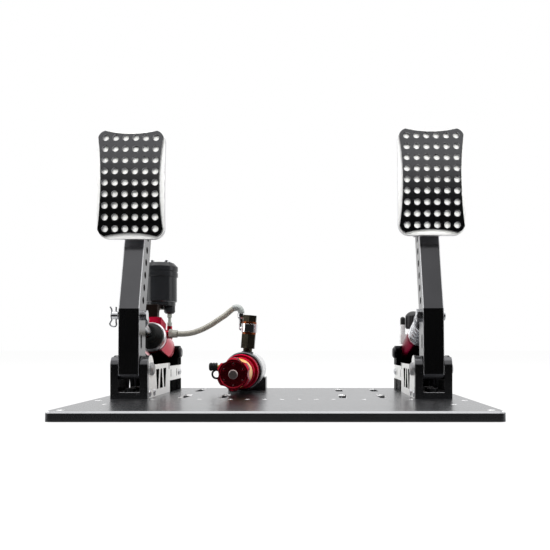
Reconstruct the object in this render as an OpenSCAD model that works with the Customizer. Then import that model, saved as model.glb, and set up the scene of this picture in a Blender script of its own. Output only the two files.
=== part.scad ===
// Hydraulic sim racing pedal set on a wide heel plate: a brake pedal with a
// master cylinder, a throttle pedal with a spring damper, and a slave unit
// with an elastomer stack between them. Origin: middle of the plate's
// underside. X to the driver's right, Y away from the driver, Z up.

/* [Heel plate] */
// Width of the heel plate
plate_w = 364; // [356:1:424]
// Depth of the heel plate, front to back
plate_d = 300; // [290:1:340]
// Thickness of the heel plate
plate_t = 8.5; // [6:0.5:14]
// Corner radius of the heel plate
plate_corner_r = 6; // [3:0.5:9]
// Diamond-cut bevel along the top edge
plate_bevel = 1.7; // [0.5:0.1:2.5]
// Diameter of the corner and edge mounting holes
edge_hole_d = 6.5; // [4:0.5:8]
// Distance of the mounting holes from the plate's edges
edge_hole_inset = 10; // [8:0.5:11]
// Distance of the inner edge holes from the middle of the plate
edge_hole_y = 45; // [30:1:80]
// Width of the module slots
slot_w = 8; // [5:0.5:10]
// End to end length of the module slots
slot_len = 50; // [30:1:60]
// Distance between the two slots of a module
slot_pitch = 40; // [30:1:50]
// Middle of a slot group, from the end of the plate
slot_group_inset = 102; // [92:1:106]
// Middle of the front slots
slot_front_y = 11; // [0:1:20]
// Middle of the rear slots
slot_rear_y = 108; // [95:1:115]
// Diameter of the rail holes
rail_hole_d = 5; // [3:0.5:6]
// Distance between the rail holes
rail_hole_pitch = 16.5; // [12:0.5:20]
// Number of rail holes in the middle row
rail_hole_count = 7; // [1:2:7]
// Place of the rail row
rail_y = -30; // [-40:1:-22]
// Places of the outer rail holes
rail_outer_x = [79, 124]; // [75:1:125]
// Place of the spare holes near the front corners
spare_hole = [153.5, -86]; // [-120:0.5:160]

/* [Module brackets] */
// Middle of the brake module, from the plate's left end
brake_inset = 34; // [32:0.5:42]
// Middle of the throttle module, from the plate's right end
throttle_inset = 35.5; // [32:0.5:42]
// Width of the brackets over their ears
bracket_w = 36; // [32:0.5:40]
// Gap between the front ears
ear_gap = 21; // [20.6:0.1:22]
// Front face of the front bracket
bracket_front = -26.4; // [-32:0.2:-26]
// Depth of the front bracket
bracket_depth = 34.4; // [30:0.2:40]
// Height of the front bracket
bracket_h = 41.5; // [38:0.5:46]
// Rounding of the front ears
ear_round = 10; // [4:0.5:12]
// Floor thickness of the front bracket
bracket_floor = 6.5; // [5:0.5:9]
// Depth of the full-width lip in front of the side plates
lip_depth = 5.5; // [3:0.5:6]
// Front end of the rear bracket's foot
rear_foot_front = 88; // [86:1:95]
// Back end of the rear bracket
rear_back = 141; // [137:1:144]
// Height of the rear bracket's foot
rear_foot_h = 12.5; // [9:0.5:14]
// Height of the rear ears
rear_ear_h = 51.5; // [50:0.5:58]
// Depth of the rear ears
rear_ear_depth = 21; // [19:0.5:23]
// Gap between the rear ears
rear_gap = 23; // [22.2:0.1:24]
// Thickness of the wall across a rear bracket's back
rear_wall_t = 3.5; // [2:0.25:4]
// Rounding of the rear ears
rear_round = 5; // [1:0.5:9]

/* [Side plates] */
// Thickness of the side plates
side_t = 3; // [2:0.25:3.5]
// Inset of the side plates from the bracket's sides
side_inset = 0.5; // [0:0.1:1]
// Height of the front panel
side_h = 32.5; // [31:0.5:36]
// Back end of the front panel
side_front_end = 79; // [76:1:85]
// Height of the rear panel's top edge
side_rear_h = 28.8; // [26:0.2:31]
// Radius of the lobe round the pivot
lobe_r = 13.5; // [11:0.5:15]
// Width of the notch between the panels
notch_w = 3; // [1:0.5:4]
// Depth of the notch
notch_depth = 7; // [3:0.5:9]
// Front end of the lattice window
truss_start = 11; // [8:1:14]
// Back end of the lattice window
truss_end = 61; // [54:1:64]
// Bottom of the lattice window
truss_bottom = 7; // [5:0.5:9]
// Height of the lattice window
truss_h = 20.5; // [14:0.5:22]
// Width of the lattice bars
truss_bar = 6; // [2:0.5:7]
// Number of cut-outs in the lattice
truss_count = 3; // [2:1:4]
// Narrow end of a cut-out, as a share of its wide end
truss_taper = 0.45; // [0.1:0.05:1]
// Width of the small upright slots
side_slot_w = 3; // [2:0.25:4]
// Length of the small upright slots
side_slot_len = 9; // [5:0.5:11]

/* [Pedal pivot] */
// Pivot position along Y
pivot_y = -11; // [-12:0.5:-9]
// Pivot height over the plate
pivot_h = 28.5; // [26:0.5:31]
// Diameter of the pivot, clevis and rear pins
pin_d = 8; // [6:0.5:8]
// Outer diameter of the pivot bush
bush_d = 12; // [10:0.5:13]
// Running clearance of the pins, on the radius
running = 0.05; // [0.02:0.01:0.1]
// Fit of a pressed or clamped piece, on the radius
seat_fit = 0.02; // [0.01:0.01:0.05]
// Clearance between flat faces that don't bear on each other
face_gap = 0.3; // [0.2:0.05:0.4]
// Diameter of the pivot and rear pin heads
pin_head_d = 13; // [11:0.5:14]
// Thickness of the pin heads
pin_head_t = 3.6; // [2:0.2:5]

/* [Pedal arm] */
// Width of the arm
arm_w = 20; // [19:0.1:20]
// Depth of the arm
arm_depth = 25; // [24:0.5:27]
// Distance of the arm's front from the pivot, at the kink
arm_front = 15.2; // [14.5:0.1:15.6]
// Height of the kink over the pivot
arm_kink = 59; // [56:0.5:62]
// Length of the arm below the pivot
arm_tail = 9.5; // [9:0.25:12]
// Lean of the lower arm, degrees
arm_lean_low = 1.4; // [0:0.1:3]
// Lean of the upper arm, degrees
arm_lean_up = 16.9; // [15:0.1:18]
// Length of the upper arm
arm_upper = 145; // [140:1:160]
// Bevel at the arm's top corners
arm_tip = 7; // [2:0.5:10]
// Bevel at the front bottom edge
arm_toe = 4.7; // [2:0.1:5.5]
// Diameter of the adjuster holes
arm_hole_d = 7; // [5:0.25:7.5]
// Distance between the adjuster holes
arm_hole_pitch = 13.5; // [12:0.25:14]
// Distance of the first adjuster hole from the kink
arm_hole_first = 13; // [10:0.5:16]
// Number of adjuster holes
arm_hole_count = 10; // [9:1:10]
// Height of the oblong lower slot
arm_slot_h = 14; // [8:0.5:16]
// Width of the oblong lower slot
arm_slot_w = 5; // [3:0.25:6]
// Height of the slot's middle over the pivot
arm_slot_up = 27; // [24:0.5:28]
// Rest angle of the throttle arm, degrees
throttle_rest = 1.5; // [0:0.1:3]

/* [Pedal face] */
// Width of the face plate
face_w = 64; // [60:1:70]
// Height of the face plate
face_h = 104.6; // [101:0.2:112]
// Thickness of the face plate
face_t = 3.5; // [2.5:0.25:5]
// Corner radius of the face plate
face_corner_r = 9; // [6:0.5:11]
// How far the sides curve in
face_waist = 3.5; // [1:0.1:4]
// Radius of the face's upright curve
face_curve = 400; // [300:10:600]
// Lean of the face against the arm's frame, degrees
face_lean = 2.3; // [1:0.1:4]
// Middle of the face behind the pivot line
face_y = -12.4; // [-14:0.2:-12]
// Middle of the face over the pivot
face_up = 181.5; // [179:0.5:184]
// Extra height of the throttle face
throttle_face_up = 4.2; // [0:0.1:6]
// Columns of holes
hole_cols = 6; // [4:1:6]
// Rows of holes
hole_rows = 9; // [6:1:9]
// Distance between columns
hole_pitch_x = 9.8; // [8.5:0.1:10]
// Distance between rows
hole_pitch_z = 11.2; // [9:0.1:11.4]
// Diameter of the grip holes
grip_hole_d = 6.4; // [4:0.2:7]
// Width of the backing plate
back_w = 66; // [62:0.2:74]
// Height of the backing plate
back_h = 106.6; // [103:0.2:116]
// Thickness of the backing plate
back_t = 4.5; // [3:0.25:6]
// How far the backing plate sits below the face's middle
back_drop = 0.6; // [0:0.1:3]
// Corner radius of the backing plate
back_corner_r = 11; // [6:0.5:13]
// Thickness of the mount's web
web_t = 6; // [4:0.25:6.5]
// Width of the mount's web
web_w = 44; // [36:1:50]
// Height of the mount's web
web_h = 58; // [52:1:64]
// Thickness of the mount's cheeks
cheek_t = 3.2; // [2:0.2:4]
// Lower mount bolt below the middle of the face, to the nearest adjuster hole
mount_drop = 24; // [18:1:30]
// Adjuster holes from the lower to the upper mount bolt
mount_step_count = 2; // [1:1:2]
// Diameter of the mount bolts
mount_bolt_d = 6; // [4:0.25:6.5]
// Diameter of the mount bolts' heads
mount_head_d = 10; // [8:0.5:12]
// Thickness of the mount bolts' heads
mount_head_t = 4; // [2:0.2:5]

/* [Pedal rods] */
// Clevis pin over the pivot
rod_pin_up = 53; // [52:0.25:54]
// Clevis pin behind the pivot
rod_pin_back = 1; // [0:0.25:1.5]
// Clearance of the rod eye on its pin, on the radius
eye_play = 0.5; // [0.45:0.01:0.6]
// Outer diameter of the rod eye
eye_d = 17; // [15.5:0.5:17.5]
// Width of the rod eye
eye_w = 10; // [8:0.25:10.3]
// Width of the slot in the arm for the rod eye
eye_slot_w = 11; // [10.8:0.1:12]
// Diameter of the rods
rod_d = 10; // [8:0.25:10]
// Rear pivot position along Y
rear_y = 128; // [126:0.5:129]
// Rear pivot height over the plate
rear_h = 43.5; // [42.5:0.5:45]
// Width of the rear eyes
rear_eye_w = 22; // [18:0.25:22]
// Outer diameter of the rear eyes
rear_eye_d = 17; // [14:0.5:17]

/* [Master cylinder] */
// Diameter of the barrel
barrel_d = 33; // [30:0.5:34]
// Front end of the barrel along the rod
barrel_start = 74; // [72:1:78]
// Back end of the barrel along the rod
barrel_end = 126; // [122:1:127]
// Bright bevel at the barrel's front
barrel_bevel = 1.4; // [0.5:0.1:2]
// Diameter of the rubber boot
boot_d = 28.5; // [24:0.5:29]
// Length of the boot in front of the barrel
boot_len = 14; // [8:0.5:18]
// Diameter of the stop disc on the brake rod
disc_d = 22.5; // [18:0.5:24]
// Place of the stop disc along the rod
disc_start = 15.5; // [15:0.25:18]
// Thickness of the stop disc
disc_t = 4; // [3:0.25:6]
// Width of the saddle on the barrel
saddle_w = 19; // [14:0.5:20]
// Front end of the saddle along the rod
saddle_start = 78; // [77:1:80]
// Length of the saddle
saddle_len = 26; // [22:1:28]
// Height of the saddle's top over the barrel's axis
saddle_top = 23.5; // [22:0.25:25]
// Width of the reservoir bracket
post_w = 15; // [10:0.5:18]
// Thickness of the reservoir bracket's post
post_t = 9; // [6:0.5:11]
// Thickness of the reservoir bracket's shelf
shelf_t = 4; // [3:0.25:5]

/* [Reservoir] */
// Reservoir axis along Y
reservoir_y = 112; // [108:1:115]
// Height of the reservoir's bottom over the plate
reservoir_h = 98; // [96:0.5:101]
// Diameter of the reservoir body
reservoir_d = 37; // [34:0.5:40]
// Height of the reservoir body
reservoir_body_h = 33.5; // [28:0.5:40]
// Height of the bottom ring under the bright groove
ring_h = 4.5; // [3:0.25:6]
// Diameter of the lid
lid_d = 39.4; // [38:0.2:42]
// Height of the lid
lid_h = 16.5; // [12:0.5:18]
// Bevel of the lid's top edge
lid_bevel = 4.5; // [2:0.25:5]
// Radius of the lid screws' circle
lid_screw_r = 11.5; // [9:0.25:12]
// Diameter of the lid screws' heads
lid_screw_d = 5; // [3.5:0.25:6]
// Height of the lid screws' heads
lid_screw_h = 2.6; // [1.5:0.1:4]
// Outlet boss under the reservoir, from its axis along X
boss_x = 10.2; // [9:0.1:10.4]
// Diameter of the outlet boss
boss_d = 12.8; // [10:0.2:13.6]
// Drop of the outlet boss below the reservoir
boss_drop = 9; // [8:0.5:10]
// Diameter of the feed tube
feed_d = 3.6; // [2.5:0.1:4.5]
// Diameter of the feed port on the barrel
port_d = 6; // [5:0.25:7]
// Height of the feed port's top over the plate
port_h = 74.5; // [73:0.5:76]

/* [Throttle damper] */
// Diameter of the damper barrel
damper_d = 25.6; // [23:0.2:26]
// Front end of the damper barrel along the rod
damper_start = 66; // [65:1:70]
// Back end of the damper barrel along the rod
damper_end = 125; // [120:1:126]
// Diameter of the spring seats
seat_d = 28; // [25:0.5:28]
// Front seat along the rod
seat_start = 17; // [17:0.25:18.5]
// Thickness of the spring seats
seat_t = 3; // [2:0.25:4]
// Outer diameter of the coil spring
spring_d = 26; // [23:0.5:27]
// Wire diameter of the coil spring
spring_wire = 2.4; // [2:0.1:3.4]
// Turns of the coil spring
spring_turns = 4; // [3:1:7]
// Diameter of the adjuster knob
dial_d = 18.6; // [16:0.2:19]
// Height of the adjuster knob
dial_h = 21; // [16:0.5:24]
// Height of the adjuster knob's bottom over the plate
dial_base = 71.5; // [70:0.5:76]
// Offset of the adjuster knob along X
dial_x = 2.3; // [2:0.1:3.5]
// Adjuster axis along Y
valve_y = 121; // [120:0.5:122]
// Diameter of the adjuster stem
stem_d = 6; // [4:0.25:8]
// Diameter of the gas valve cap
gas_d = 5.8; // [4.5:0.1:6]
// Height of the gas valve cap's top over the plate
gas_top = 86; // [82:0.5:90]

/* [Slave unit] */
// Axis of the slave unit, from the middle of the brake module
slave_offset = 101.5; // [100:0.5:103]
// Axis height over the plate
slave_h = 24; // [23.5:0.25:26]
// Front face of the preload knob
knob_front = -34; // [-38:0.5:-32]
// Length of the preload knob
knob_len = 18; // [14:0.5:20]
// Diameter of the preload knob
knob_d = 32; // [29:0.5:33]
// Number of finger scallops
knob_lobes = 6; // [4:1:8]
// Diameter of the finger scallops
scallop_d = 18; // [12:0.5:20]
// How deep the scallops cut
scallop_depth = 2.2; // [1:0.1:2.4]
// Circle of the small knob screws
knob_screw_r = 10.4; // [9:0.1:10.6]
// Diameter of the small knob screws
knob_screw_d = 3.2; // [2:0.1:3.4]
// Diameter of the guide rod
guide_d = 9.2; // [7:0.2:10]
// Diameter of the elastomer
elastomer_d = 29; // [26:0.5:31]
// Length of the elastomer
elastomer_len = 33; // [30:0.5:34]
// Length of the red collar
collar_len = 39; // [38:0.5:44]
// Diameter of the collar's front flange
flange_d = 31.2; // [30:0.2:33]
// Diameter of the collar's rear drum
drum_d = 37; // [34:0.5:39]
// Diameter of the head
head_d = 41.6; // [40:0.2:42]
// Length of the head
head_len = 18; // [16:0.5:20]
// Diameter of the pressure cylinder
pressure_d = 41; // [39:0.2:41.6]
// Length of the pressure cylinder
pressure_len = 56; // [50:1:58]
// Diameter of the slave piston
piston_d = 18; // [16:0.25:20]
// Length of the slave piston
piston_len = 42; // [36:1:48]
// Width of the cradle
cradle_w = 43.5; // [42.5:0.5:48]
// Length of the cradle
cradle_len = 24; // [14:1:48]
// Height of the cradle
cradle_h = 15; // [12:0.5:18]

/* [Hydraulic fittings] */
// Lean of the sensor stack, degrees
stack_lean = 4.5; // [0:0.5:6]
// Offset of the stack from the slave axis along X
stack_x = 2.6; // [2:0.2:3]
// Diameter of the stack's neck
neck_d = 10; // [8:0.25:11]
// Length of the stack's neck
neck_len = 3.5; // [2.5:0.25:5]
// Sensor block across its corners
sensor_d = 16.8; // [14:0.2:18]
// Height of the sensor block
sensor_h = 15.5; // [13:0.5:17]
// Diameter of the copper washers
washer_d = 15.2; // [13:0.2:15.6]
// Thickness of the copper washers
washer_t = 2.4; // [1.5:0.1:3]
// Diameter of the banjo eye
banjo_d = 17.6; // [16:0.2:18]
// Height of the banjo eye
banjo_h = 9; // [8:0.25:10]
// Diameter of the banjo bolt
banjo_bolt_d = 9; // [7:0.25:10]
// Banjo bolt's head across its corners
banjo_head_d = 16; // [14:0.2:16.4]
// Height of the banjo bolt's head
banjo_head_h = 7.2; // [4:0.2:8]
// Diameter of the hose
hose_d = 6.2; // [5:0.1:7]
// Diameter of the hose ferrules
ferrule_d = 8.6; // [7.5:0.1:9.5]
// Diameter of the banjo's neck
banjo_neck_d = 5.6; // [4:0.1:6]
// Diameter of the bleed nipple
nipple_d = 4.2; // [3:0.1:5]
// Length of the bleed nipple
nipple_len = 13; // [11:0.5:14]
// Diameter of the nipple's rubber cap
cap_d = 9.2; // [8:0.2:10]
// Length of the nipple's rubber cap
cap_len = 9; // [7:0.5:10]

/* [Fasteners] */
// Diameter of the bracket bolts
bolt_d = 6; // [4:0.25:6]
// Head diameter of the bracket bolts
bolt_head_d = 10; // [9:0.25:11]
// Head height of the bracket bolts
bolt_head_h = 3.6; // [2.5:0.1:5]
// Diameter of the side plate screws
screw_d = 4; // [3:0.25:4]
// Head diameter of the side plate screws
screw_head_d = 7; // [6:0.25:7.5]
// Head height of the side plate screws
screw_head_h = 1.2; // [0.8:0.1:3]
// Wire diameter of the clevis pin clip
clip_wire = 1.6; // [1:0.1:2]
// Length of the clip's loop
clip_len = 19; // [14:0.5:22]

/* [Hidden] */
$fn = 64;
// Overlap that lets a cut run clear of a face
over = 1;

deck = plate_t;
brake_x = brake_inset - plate_w / 2;
throttle_x = plate_w / 2 - throttle_inset;
slave_x = brake_x + slave_offset;
pin_r = pin_d / 2;
rod_r = rod_d / 2;

// Side plate faces, measured from the middle of the module
side_outer = bracket_w / 2 - side_inset;
side_inner = side_outer - side_t;
lip_end = bracket_front + lip_depth;
bracket_back = bracket_front + bracket_depth;
rear_ear_front = rear_back - rear_ear_depth;
// Front of the rear wall, kept clear of the eye
rear_wall_front = max(rear_back - rear_wall_t, rear_y + rear_eye_d / 2 + 3 * face_gap);

// Arm outline: unit vectors along and across both stretches, in Y and Z
low_dir = [sin(arm_lean_low), cos(arm_lean_low)];
low_out = [cos(arm_lean_low), -sin(arm_lean_low)];
up_dir = [sin(arm_lean_up), cos(arm_lean_up)];
up_out = [cos(arm_lean_up), -sin(arm_lean_up)];
kink_front = [-arm_front, arm_kink];
kink_back = kink_front + arm_depth * (low_out + up_out) / (1 + low_out * up_out);
toe_front = kink_front - low_dir * (arm_kink + arm_tail);
toe_back = toe_front + low_out * arm_depth;
tip_front = kink_front + up_dir * arm_upper;
tip_back = tip_front + up_out * arm_depth;

function arm_hole(i) =
    kink_front + up_out * arm_depth / 2 + up_dir * (arm_hole_first + i * arm_hole_pitch);

// Adjuster holes that take the mount bolts
face_along = ([face_y, face_up] - kink_front) * up_dir;
mount_low = arm_hole(round((face_along - mount_drop - arm_hole_first) / arm_hole_pitch));
mount_high = mount_low + up_dir * arm_hole_pitch * mount_step_count;

// Turn a point of the arm's frame by the arm's rest angle
function turned(p, rest) =
    [p.x * cos(rest) + p.y * sin(rest), p.y * cos(rest) - p.x * sin(rest)];

// Rod axis of a module: from the clevis pin to the rear pivot, over the plate
function pin_at(rest) = [pivot_y, pivot_h] + turned([rod_pin_back, rod_pin_up], rest);
function rod_len(rest) = norm([rear_y, rear_h] - pin_at(rest));
function rod_fall(rest) = let (d = [rear_y, rear_h] - pin_at(rest)) atan2(-d.y, d.x);
// Point at u along the rod and v over it, in Y and Z
function rod_point(u, v, rest) = let (a = rod_fall(rest))
    pin_at(rest) + [u * cos(a) + v * sin(a), v * cos(a) - u * sin(a)];

// Point at y behind and z over the middle of the face, in the arm's frame
function face_point(y, z, lift) =
    [face_y, face_up] + turned([y, z + lift], face_lean);

// Stations of the slave unit along Y
knob_back = knob_front + knob_len;
elastomer_start = knob_back + face_gap;
collar_start = elastomer_start + elastomer_len + face_gap;
collar_end = collar_start + collar_len;
head_start = collar_end + 2 * face_gap;
head_end = head_start + head_len;
pressure_end = head_end + pressure_len;
stack_y = (head_start + head_end) / 2;

// Route of the hose from the master cylinder's outlet to the banjo's ferrule, from the brake module's middle
hose_route = [
    [26, 80, 73.4], [30.5, 80, 73.2], [35.1, 79.6, 73.4], [39.6, 79.4, 74],
    [44.1, 79.2, 74.9], [48.4, 78.9, 76.3], [52.6, 78.7, 77.9], [56.8, 78.4, 79.8],
    [60.8, 78.1, 81.9], [64.8, 77.8, 84.1], [68.6, 77.6, 86.6], [72.4, 77.3, 89.1],
    [76.2, 77, 91.6], [80, 76.6, 94.1], [83.4, 76.3, 97], [85.1, 76.2, 98.5],
    [86.8, 76, 99.9], [88.7, 75.9, 101.1], [90.7, 75.7, 102.1], [92.9, 75.5, 102.5],
    [95.1, 75.4, 102], [96.7, 75.2, 100.6], [97.7, 75, 98.6], [98.1, 74.9, 96.4],
];
HOSE = [for (p = hose_route) p + [brake_x, 0, 0]];
hose_sides = 10;
hose_start = HOSE[0];
hose_end = HOSE[len(HOSE) - 1];
ferrule_len = 6.5;

// Coil spring helix between the seats
spring_from = seat_start + seat_t + face_gap;
spring_to = damper_start - face_gap;
spring_r = (spring_d - spring_wire) / 2;
rings_per_turn = 12;
spring_sides = 6;

// Shared shapes

// Cylinder along X, centred
module x_cyl(d, len) {
    rotate([0, 90, 0]) cylinder(d = d, h = len, center = true);
}

// Cylinder along Y from the origin backwards
module y_cyl(d, len) {
    rotate([-90, 0, 0]) cylinder(d = d, h = len);
}

// Outline in Y and Z, extruded along X and centred
module slab_x(t) {
    rotate([90, 0, 90]) linear_extrude(t, center = true) children();
}

// Profile of radius and length, turned about a line along Y
module turned_y() {
    rotate([-90, 0, 0]) rotate_extrude() children();
}

module rounded_rect(w, h, r) {
    square([w - 2 * r, h], center = true);
    square([w, h - 2 * r], center = true);
    for (x = [-1, 1], y = [-1, 1])
        translate([x * (w / 2 - r), y * (h / 2 - r)]) circle(r);
}

// Oblong hole along the second axis
module oblong(w, len) {
    square([w, len - w], center = true);
    for (s = [-1, 1]) translate([0, s * (len - w) / 2]) circle(d = w);
}

// Slab along X with both upper edges bevelled
module bevel_slab(len, w, h, c) {
    slab_x(len) polygon([
        [-w / 2, 0], [w / 2, 0], [w / 2, h - c], [w / 2 - c, h], [c - w / 2, h], [-w / 2, h - c],
    ]);
}

module at_brake() {
    translate([brake_x, 0, deck]) children();
}

module at_throttle() {
    translate([throttle_x, 0, deck]) children();
}

// Arm's frame, with its origin on the pivot
module on_pivot(rest) {
    translate([0, pivot_y, pivot_h]) rotate([-rest, 0, 0]) children();
}

// Rod's frame: Z runs along the rod from the clevis pin, -Y is up
module on_rod(rest) {
    p = pin_at(rest);
    translate([0, p.x, p.y]) rotate([-90 - rod_fall(rest), 0, 0]) children();
}

// Face's frame, with its origin on the middle of the front surface
module on_face(lift) {
    p = face_point(0, 0, lift);
    translate([0, p.x, p.y]) rotate([-face_lean, 0, 0]) children();
}

module at_slave() {
    translate([slave_x, 0, deck + slave_h]) children();
}

// Stack's frame, with its origin on the slave axis and Z up the stack
module on_stack() {
    at_slave() translate([stack_x, stack_y, 0]) rotate([0, stack_lean, 0]) children();
}

// Base plate and brackets

module edge_holes() {
    x = plate_w / 2 - edge_hole_inset;
    y = plate_d / 2 - edge_hole_inset;
    for (sx = [-1, 1], py = [-y, -edge_hole_y, edge_hole_y, y])
        translate([sx * x, py]) circle(d = edge_hole_d);
}

module rail_holes() {
    half = (rail_hole_count - 1) / 2;
    for (i = [-half:half]) translate([i * rail_hole_pitch, rail_y]) circle(d = rail_hole_d);
    for (s = [-1, 1]) {
        for (x = rail_outer_x) translate([s * x, rail_y]) circle(d = rail_hole_d);
        translate([s * spare_hole.x, spare_hole.y]) circle(d = rail_hole_d);
    }
}

module module_slots() {
    for (g = [-1, 1], s = [-1, 1], y = [slot_front_y, slot_rear_y])
        translate([g * (plate_w / 2 - slot_group_inset) + s * slot_pitch / 2, y]) oblong(slot_w, slot_len);
}

// Places of the bolts that hold a module's brackets, in the module's frame
front_bolt_y = [bracket_front + bolt_head_d / 2 + 1.5, bracket_back - bolt_head_d / 2 - 1];
rear_bolt_y = [rear_foot_front + bolt_head_d / 2 + 2, rear_ear_front - bolt_head_d / 2 - 2];

module bolt_bores(depth) {
    for (y = concat(front_bolt_y, rear_bolt_y))
        translate([0, y, -depth]) cylinder(d = bolt_d + 2 * seat_fit, h = depth + over);
}

module base_plate() {
    r = plate_corner_r;
    color("dimgray") difference() {
        union() {
            bevel_slab(plate_w - 2 * r, plate_d, plate_t, plate_bevel);
            rotate(90) bevel_slab(plate_d - 2 * r, plate_w, plate_t, plate_bevel);
            for (x = [-1, 1], y = [-1, 1])
                translate([x * (plate_w / 2 - r), y * (plate_d / 2 - r), 0]) rotate_extrude() polygon([
                    [0, 0], [r, 0], [r, plate_t - plate_bevel], [r - plate_bevel, plate_t], [0, plate_t],
                ]);
        }
        translate([0, 0, -over]) linear_extrude(plate_t + 2 * over) {
            edge_holes();
            rail_holes();
            module_slots();
        }
        at_brake() bolt_bores(plate_t + over);
        at_throttle() bolt_bores(plate_t + over);
    }
}

module front_ear_outline() {
    translate([bracket_front, 0]) square([bracket_depth, bracket_h - ear_round]);
    translate([bracket_front + ear_round, 0]) square([bracket_depth - ear_round, bracket_h]);
    translate([bracket_front + ear_round, bracket_h - ear_round]) circle(ear_round);
}

// Block on both sides of the module that makes room for the side plates
module side_rebate(from, to, low, high) {
    for (s = [-1, 1])
        translate([s > 0 ? side_inner : -side_inner - bracket_w, from, low])
            cube([bracket_w, to - from, high - low]);
}

module front_bracket() {
    color([0.12, 0.12, 0.13]) difference() {
        slab_x(bracket_w) front_ear_outline();
        translate([-ear_gap / 2, bracket_front - over, bracket_floor])
            cube([ear_gap, bracket_depth + 2 * over, bracket_h]);
        side_rebate(lip_end, bracket_back + over, -over, bracket_h + over);
        translate([0, pivot_y, pivot_h]) x_cyl(pin_d + 2 * seat_fit, bracket_w + 2 * over);
        for (y = front_bolt_y)
            translate([0, y, -over]) cylinder(d = bolt_d + 2 * seat_fit, h = bracket_floor + 2 * over);
        screw_bores(front_screws);
    }
}

module brake_front_bracket() {
    at_brake() front_bracket();
}

module throttle_front_bracket() {
    at_throttle() front_bracket();
}

// Side plate screws in Y and Z: two in the front bracket, two in the rear ears
screw_edge = screw_head_d / 2 + 1;
screw_bite = 2.5;
front_screws = [[lip_end + screw_edge + 1, screw_edge], [bracket_back - screw_edge, screw_edge]];
rear_screw_z = (rear_foot_h + side_rear_h) / 2;
rear_screws = [[rear_ear_front + screw_edge + 4, rear_screw_z], [rear_back - screw_edge, rear_screw_z]];

module screw_bores(places) {
    for (s = [-1, 1], p = places)
        translate([s * side_inner, p.x, p.y])
            x_cyl(screw_d + 2 * seat_fit, 2 * (screw_bite + seat_fit));
}

module lattice_window() {
    pitch = (truss_end - truss_start) / truss_count;
    wide = (pitch - truss_bar) / (1 + truss_taper);
    narrow = wide * truss_taper;
    for (i = [0:truss_count - 1])
        translate([truss_start + (i + 0.5) * pitch, truss_bottom])
            let (low = i % 2 == 0 ? narrow : wide, high = wide + narrow - low)
                polygon([[-low, 0], [low, 0], [high, truss_h], [-high, truss_h]]);
}

// Upright slots in the rear panel, one at each end of its free length
side_slot_y = [side_front_end + side_slot_w + 3, rear_ear_front - side_slot_w];

module side_outline() {
    front = lip_end + face_gap;
    difference() {
        union() {
            translate([front, 0]) square([side_front_end - front, side_h]);
            translate([front, rear_foot_h])
                square([rear_back - front, side_rear_h - rear_foot_h]);
            intersection() {
                translate([pivot_y, pivot_h]) circle(lobe_r);
                translate([front, 0]) square([2 * lobe_r, pivot_h + lobe_r + over]);
            }
        }
        lattice_window();
        translate([side_front_end - 2 * notch_w, side_h - notch_depth]) square([notch_w, notch_depth + over]);
        for (y = side_slot_y) translate([y, rear_screw_z]) oblong(side_slot_w, side_slot_len);
        translate([pivot_y, pivot_h]) circle(d = pin_d + 2 * seat_fit);
        for (p = concat(front_screws, rear_screws)) translate(p) circle(d = screw_d + 2 * seat_fit);
    }
}

module side_plates() {
    color("gainsboro") for (s = [-1, 1])
        translate([s * (side_inner + side_t / 2), 0, 0]) slab_x(side_t) side_outline();
}

module brake_side_plates() {
    at_brake() side_plates();
}

module throttle_side_plates() {
    at_throttle() side_plates();
}

module rear_ear_outline() {
    translate([rear_ear_front, 0]) square([rear_ear_depth, rear_ear_h - rear_round]);
    translate([rear_ear_front + rear_round, 0]) square([rear_ear_depth - 2 * rear_round, rear_ear_h]);
    for (y = [rear_ear_front + rear_round, rear_back - rear_round])
        translate([y, rear_ear_h - rear_round]) circle(rear_round);
}

module rear_bracket() {
    color([0.12, 0.12, 0.13]) difference() {
        union() {
            slab_x(2 * side_outer) translate([rear_foot_front, 0])
                square([rear_back - rear_foot_front, rear_foot_h]);
            translate([0, 0, rear_foot_h]) slab_x(bracket_w)
                translate([0, -rear_foot_h]) rear_ear_outline();
        }
        translate([-rear_gap / 2, rear_foot_front - over, rear_foot_h])
            cube([rear_gap, rear_wall_front - rear_foot_front + over, rear_ear_h]);
        side_rebate(rear_foot_front - over, rear_back + over, rear_foot_h, side_rear_h + face_gap);
        translate([0, rear_y, rear_h]) x_cyl(pin_d + 2 * seat_fit, bracket_w + 2 * over);
        for (y = rear_bolt_y)
            translate([0, y, -over]) cylinder(d = bolt_d + 2 * seat_fit, h = rear_foot_h + 2 * over);
        screw_bores(rear_screws);
    }
}

module brake_rear_bracket() {
    at_brake() rear_bracket();
}

module throttle_rear_bracket() {
    at_throttle() rear_bracket();
}

// Socket-head bolt standing on a floor of the given height
module floor_bolt(floor_h) {
    socket_d = 0.5 * bolt_head_d;
    translate([0, 0, -plate_t + over]) cylinder(d = bolt_d, h = floor_h + plate_t - over);
    translate([0, 0, floor_h]) difference() {
        cylinder(d = bolt_head_d, h = bolt_head_h);
        translate([0, 0, bolt_head_h / 2]) cylinder(d = socket_d, h = bolt_head_h, $fn = 6);
    }
}

module module_bolts() {
    for (y = front_bolt_y) translate([0, y, 0]) floor_bolt(bracket_floor);
    for (y = rear_bolt_y) translate([0, y, 0]) floor_bolt(rear_foot_h);
}

module bracket_bolts() {
    color("silver") {
        at_brake() module_bolts();
        at_throttle() module_bolts();
    }
}

module module_screws() {
    for (s = [-1, 1], p = concat(front_screws, rear_screws))
        translate([0, p.x, p.y]) rotate([0, s * 90, 0]) {
            translate([0, 0, side_inner - screw_bite]) cylinder(d = screw_d, h = side_t + screw_bite);
            translate([0, 0, side_outer]) cylinder(d = screw_head_d, h = screw_head_h);
        }
}

module side_plate_screws() {
    color("silver") {
        at_brake() module_screws();
        at_throttle() module_screws();
    }
}

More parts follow.
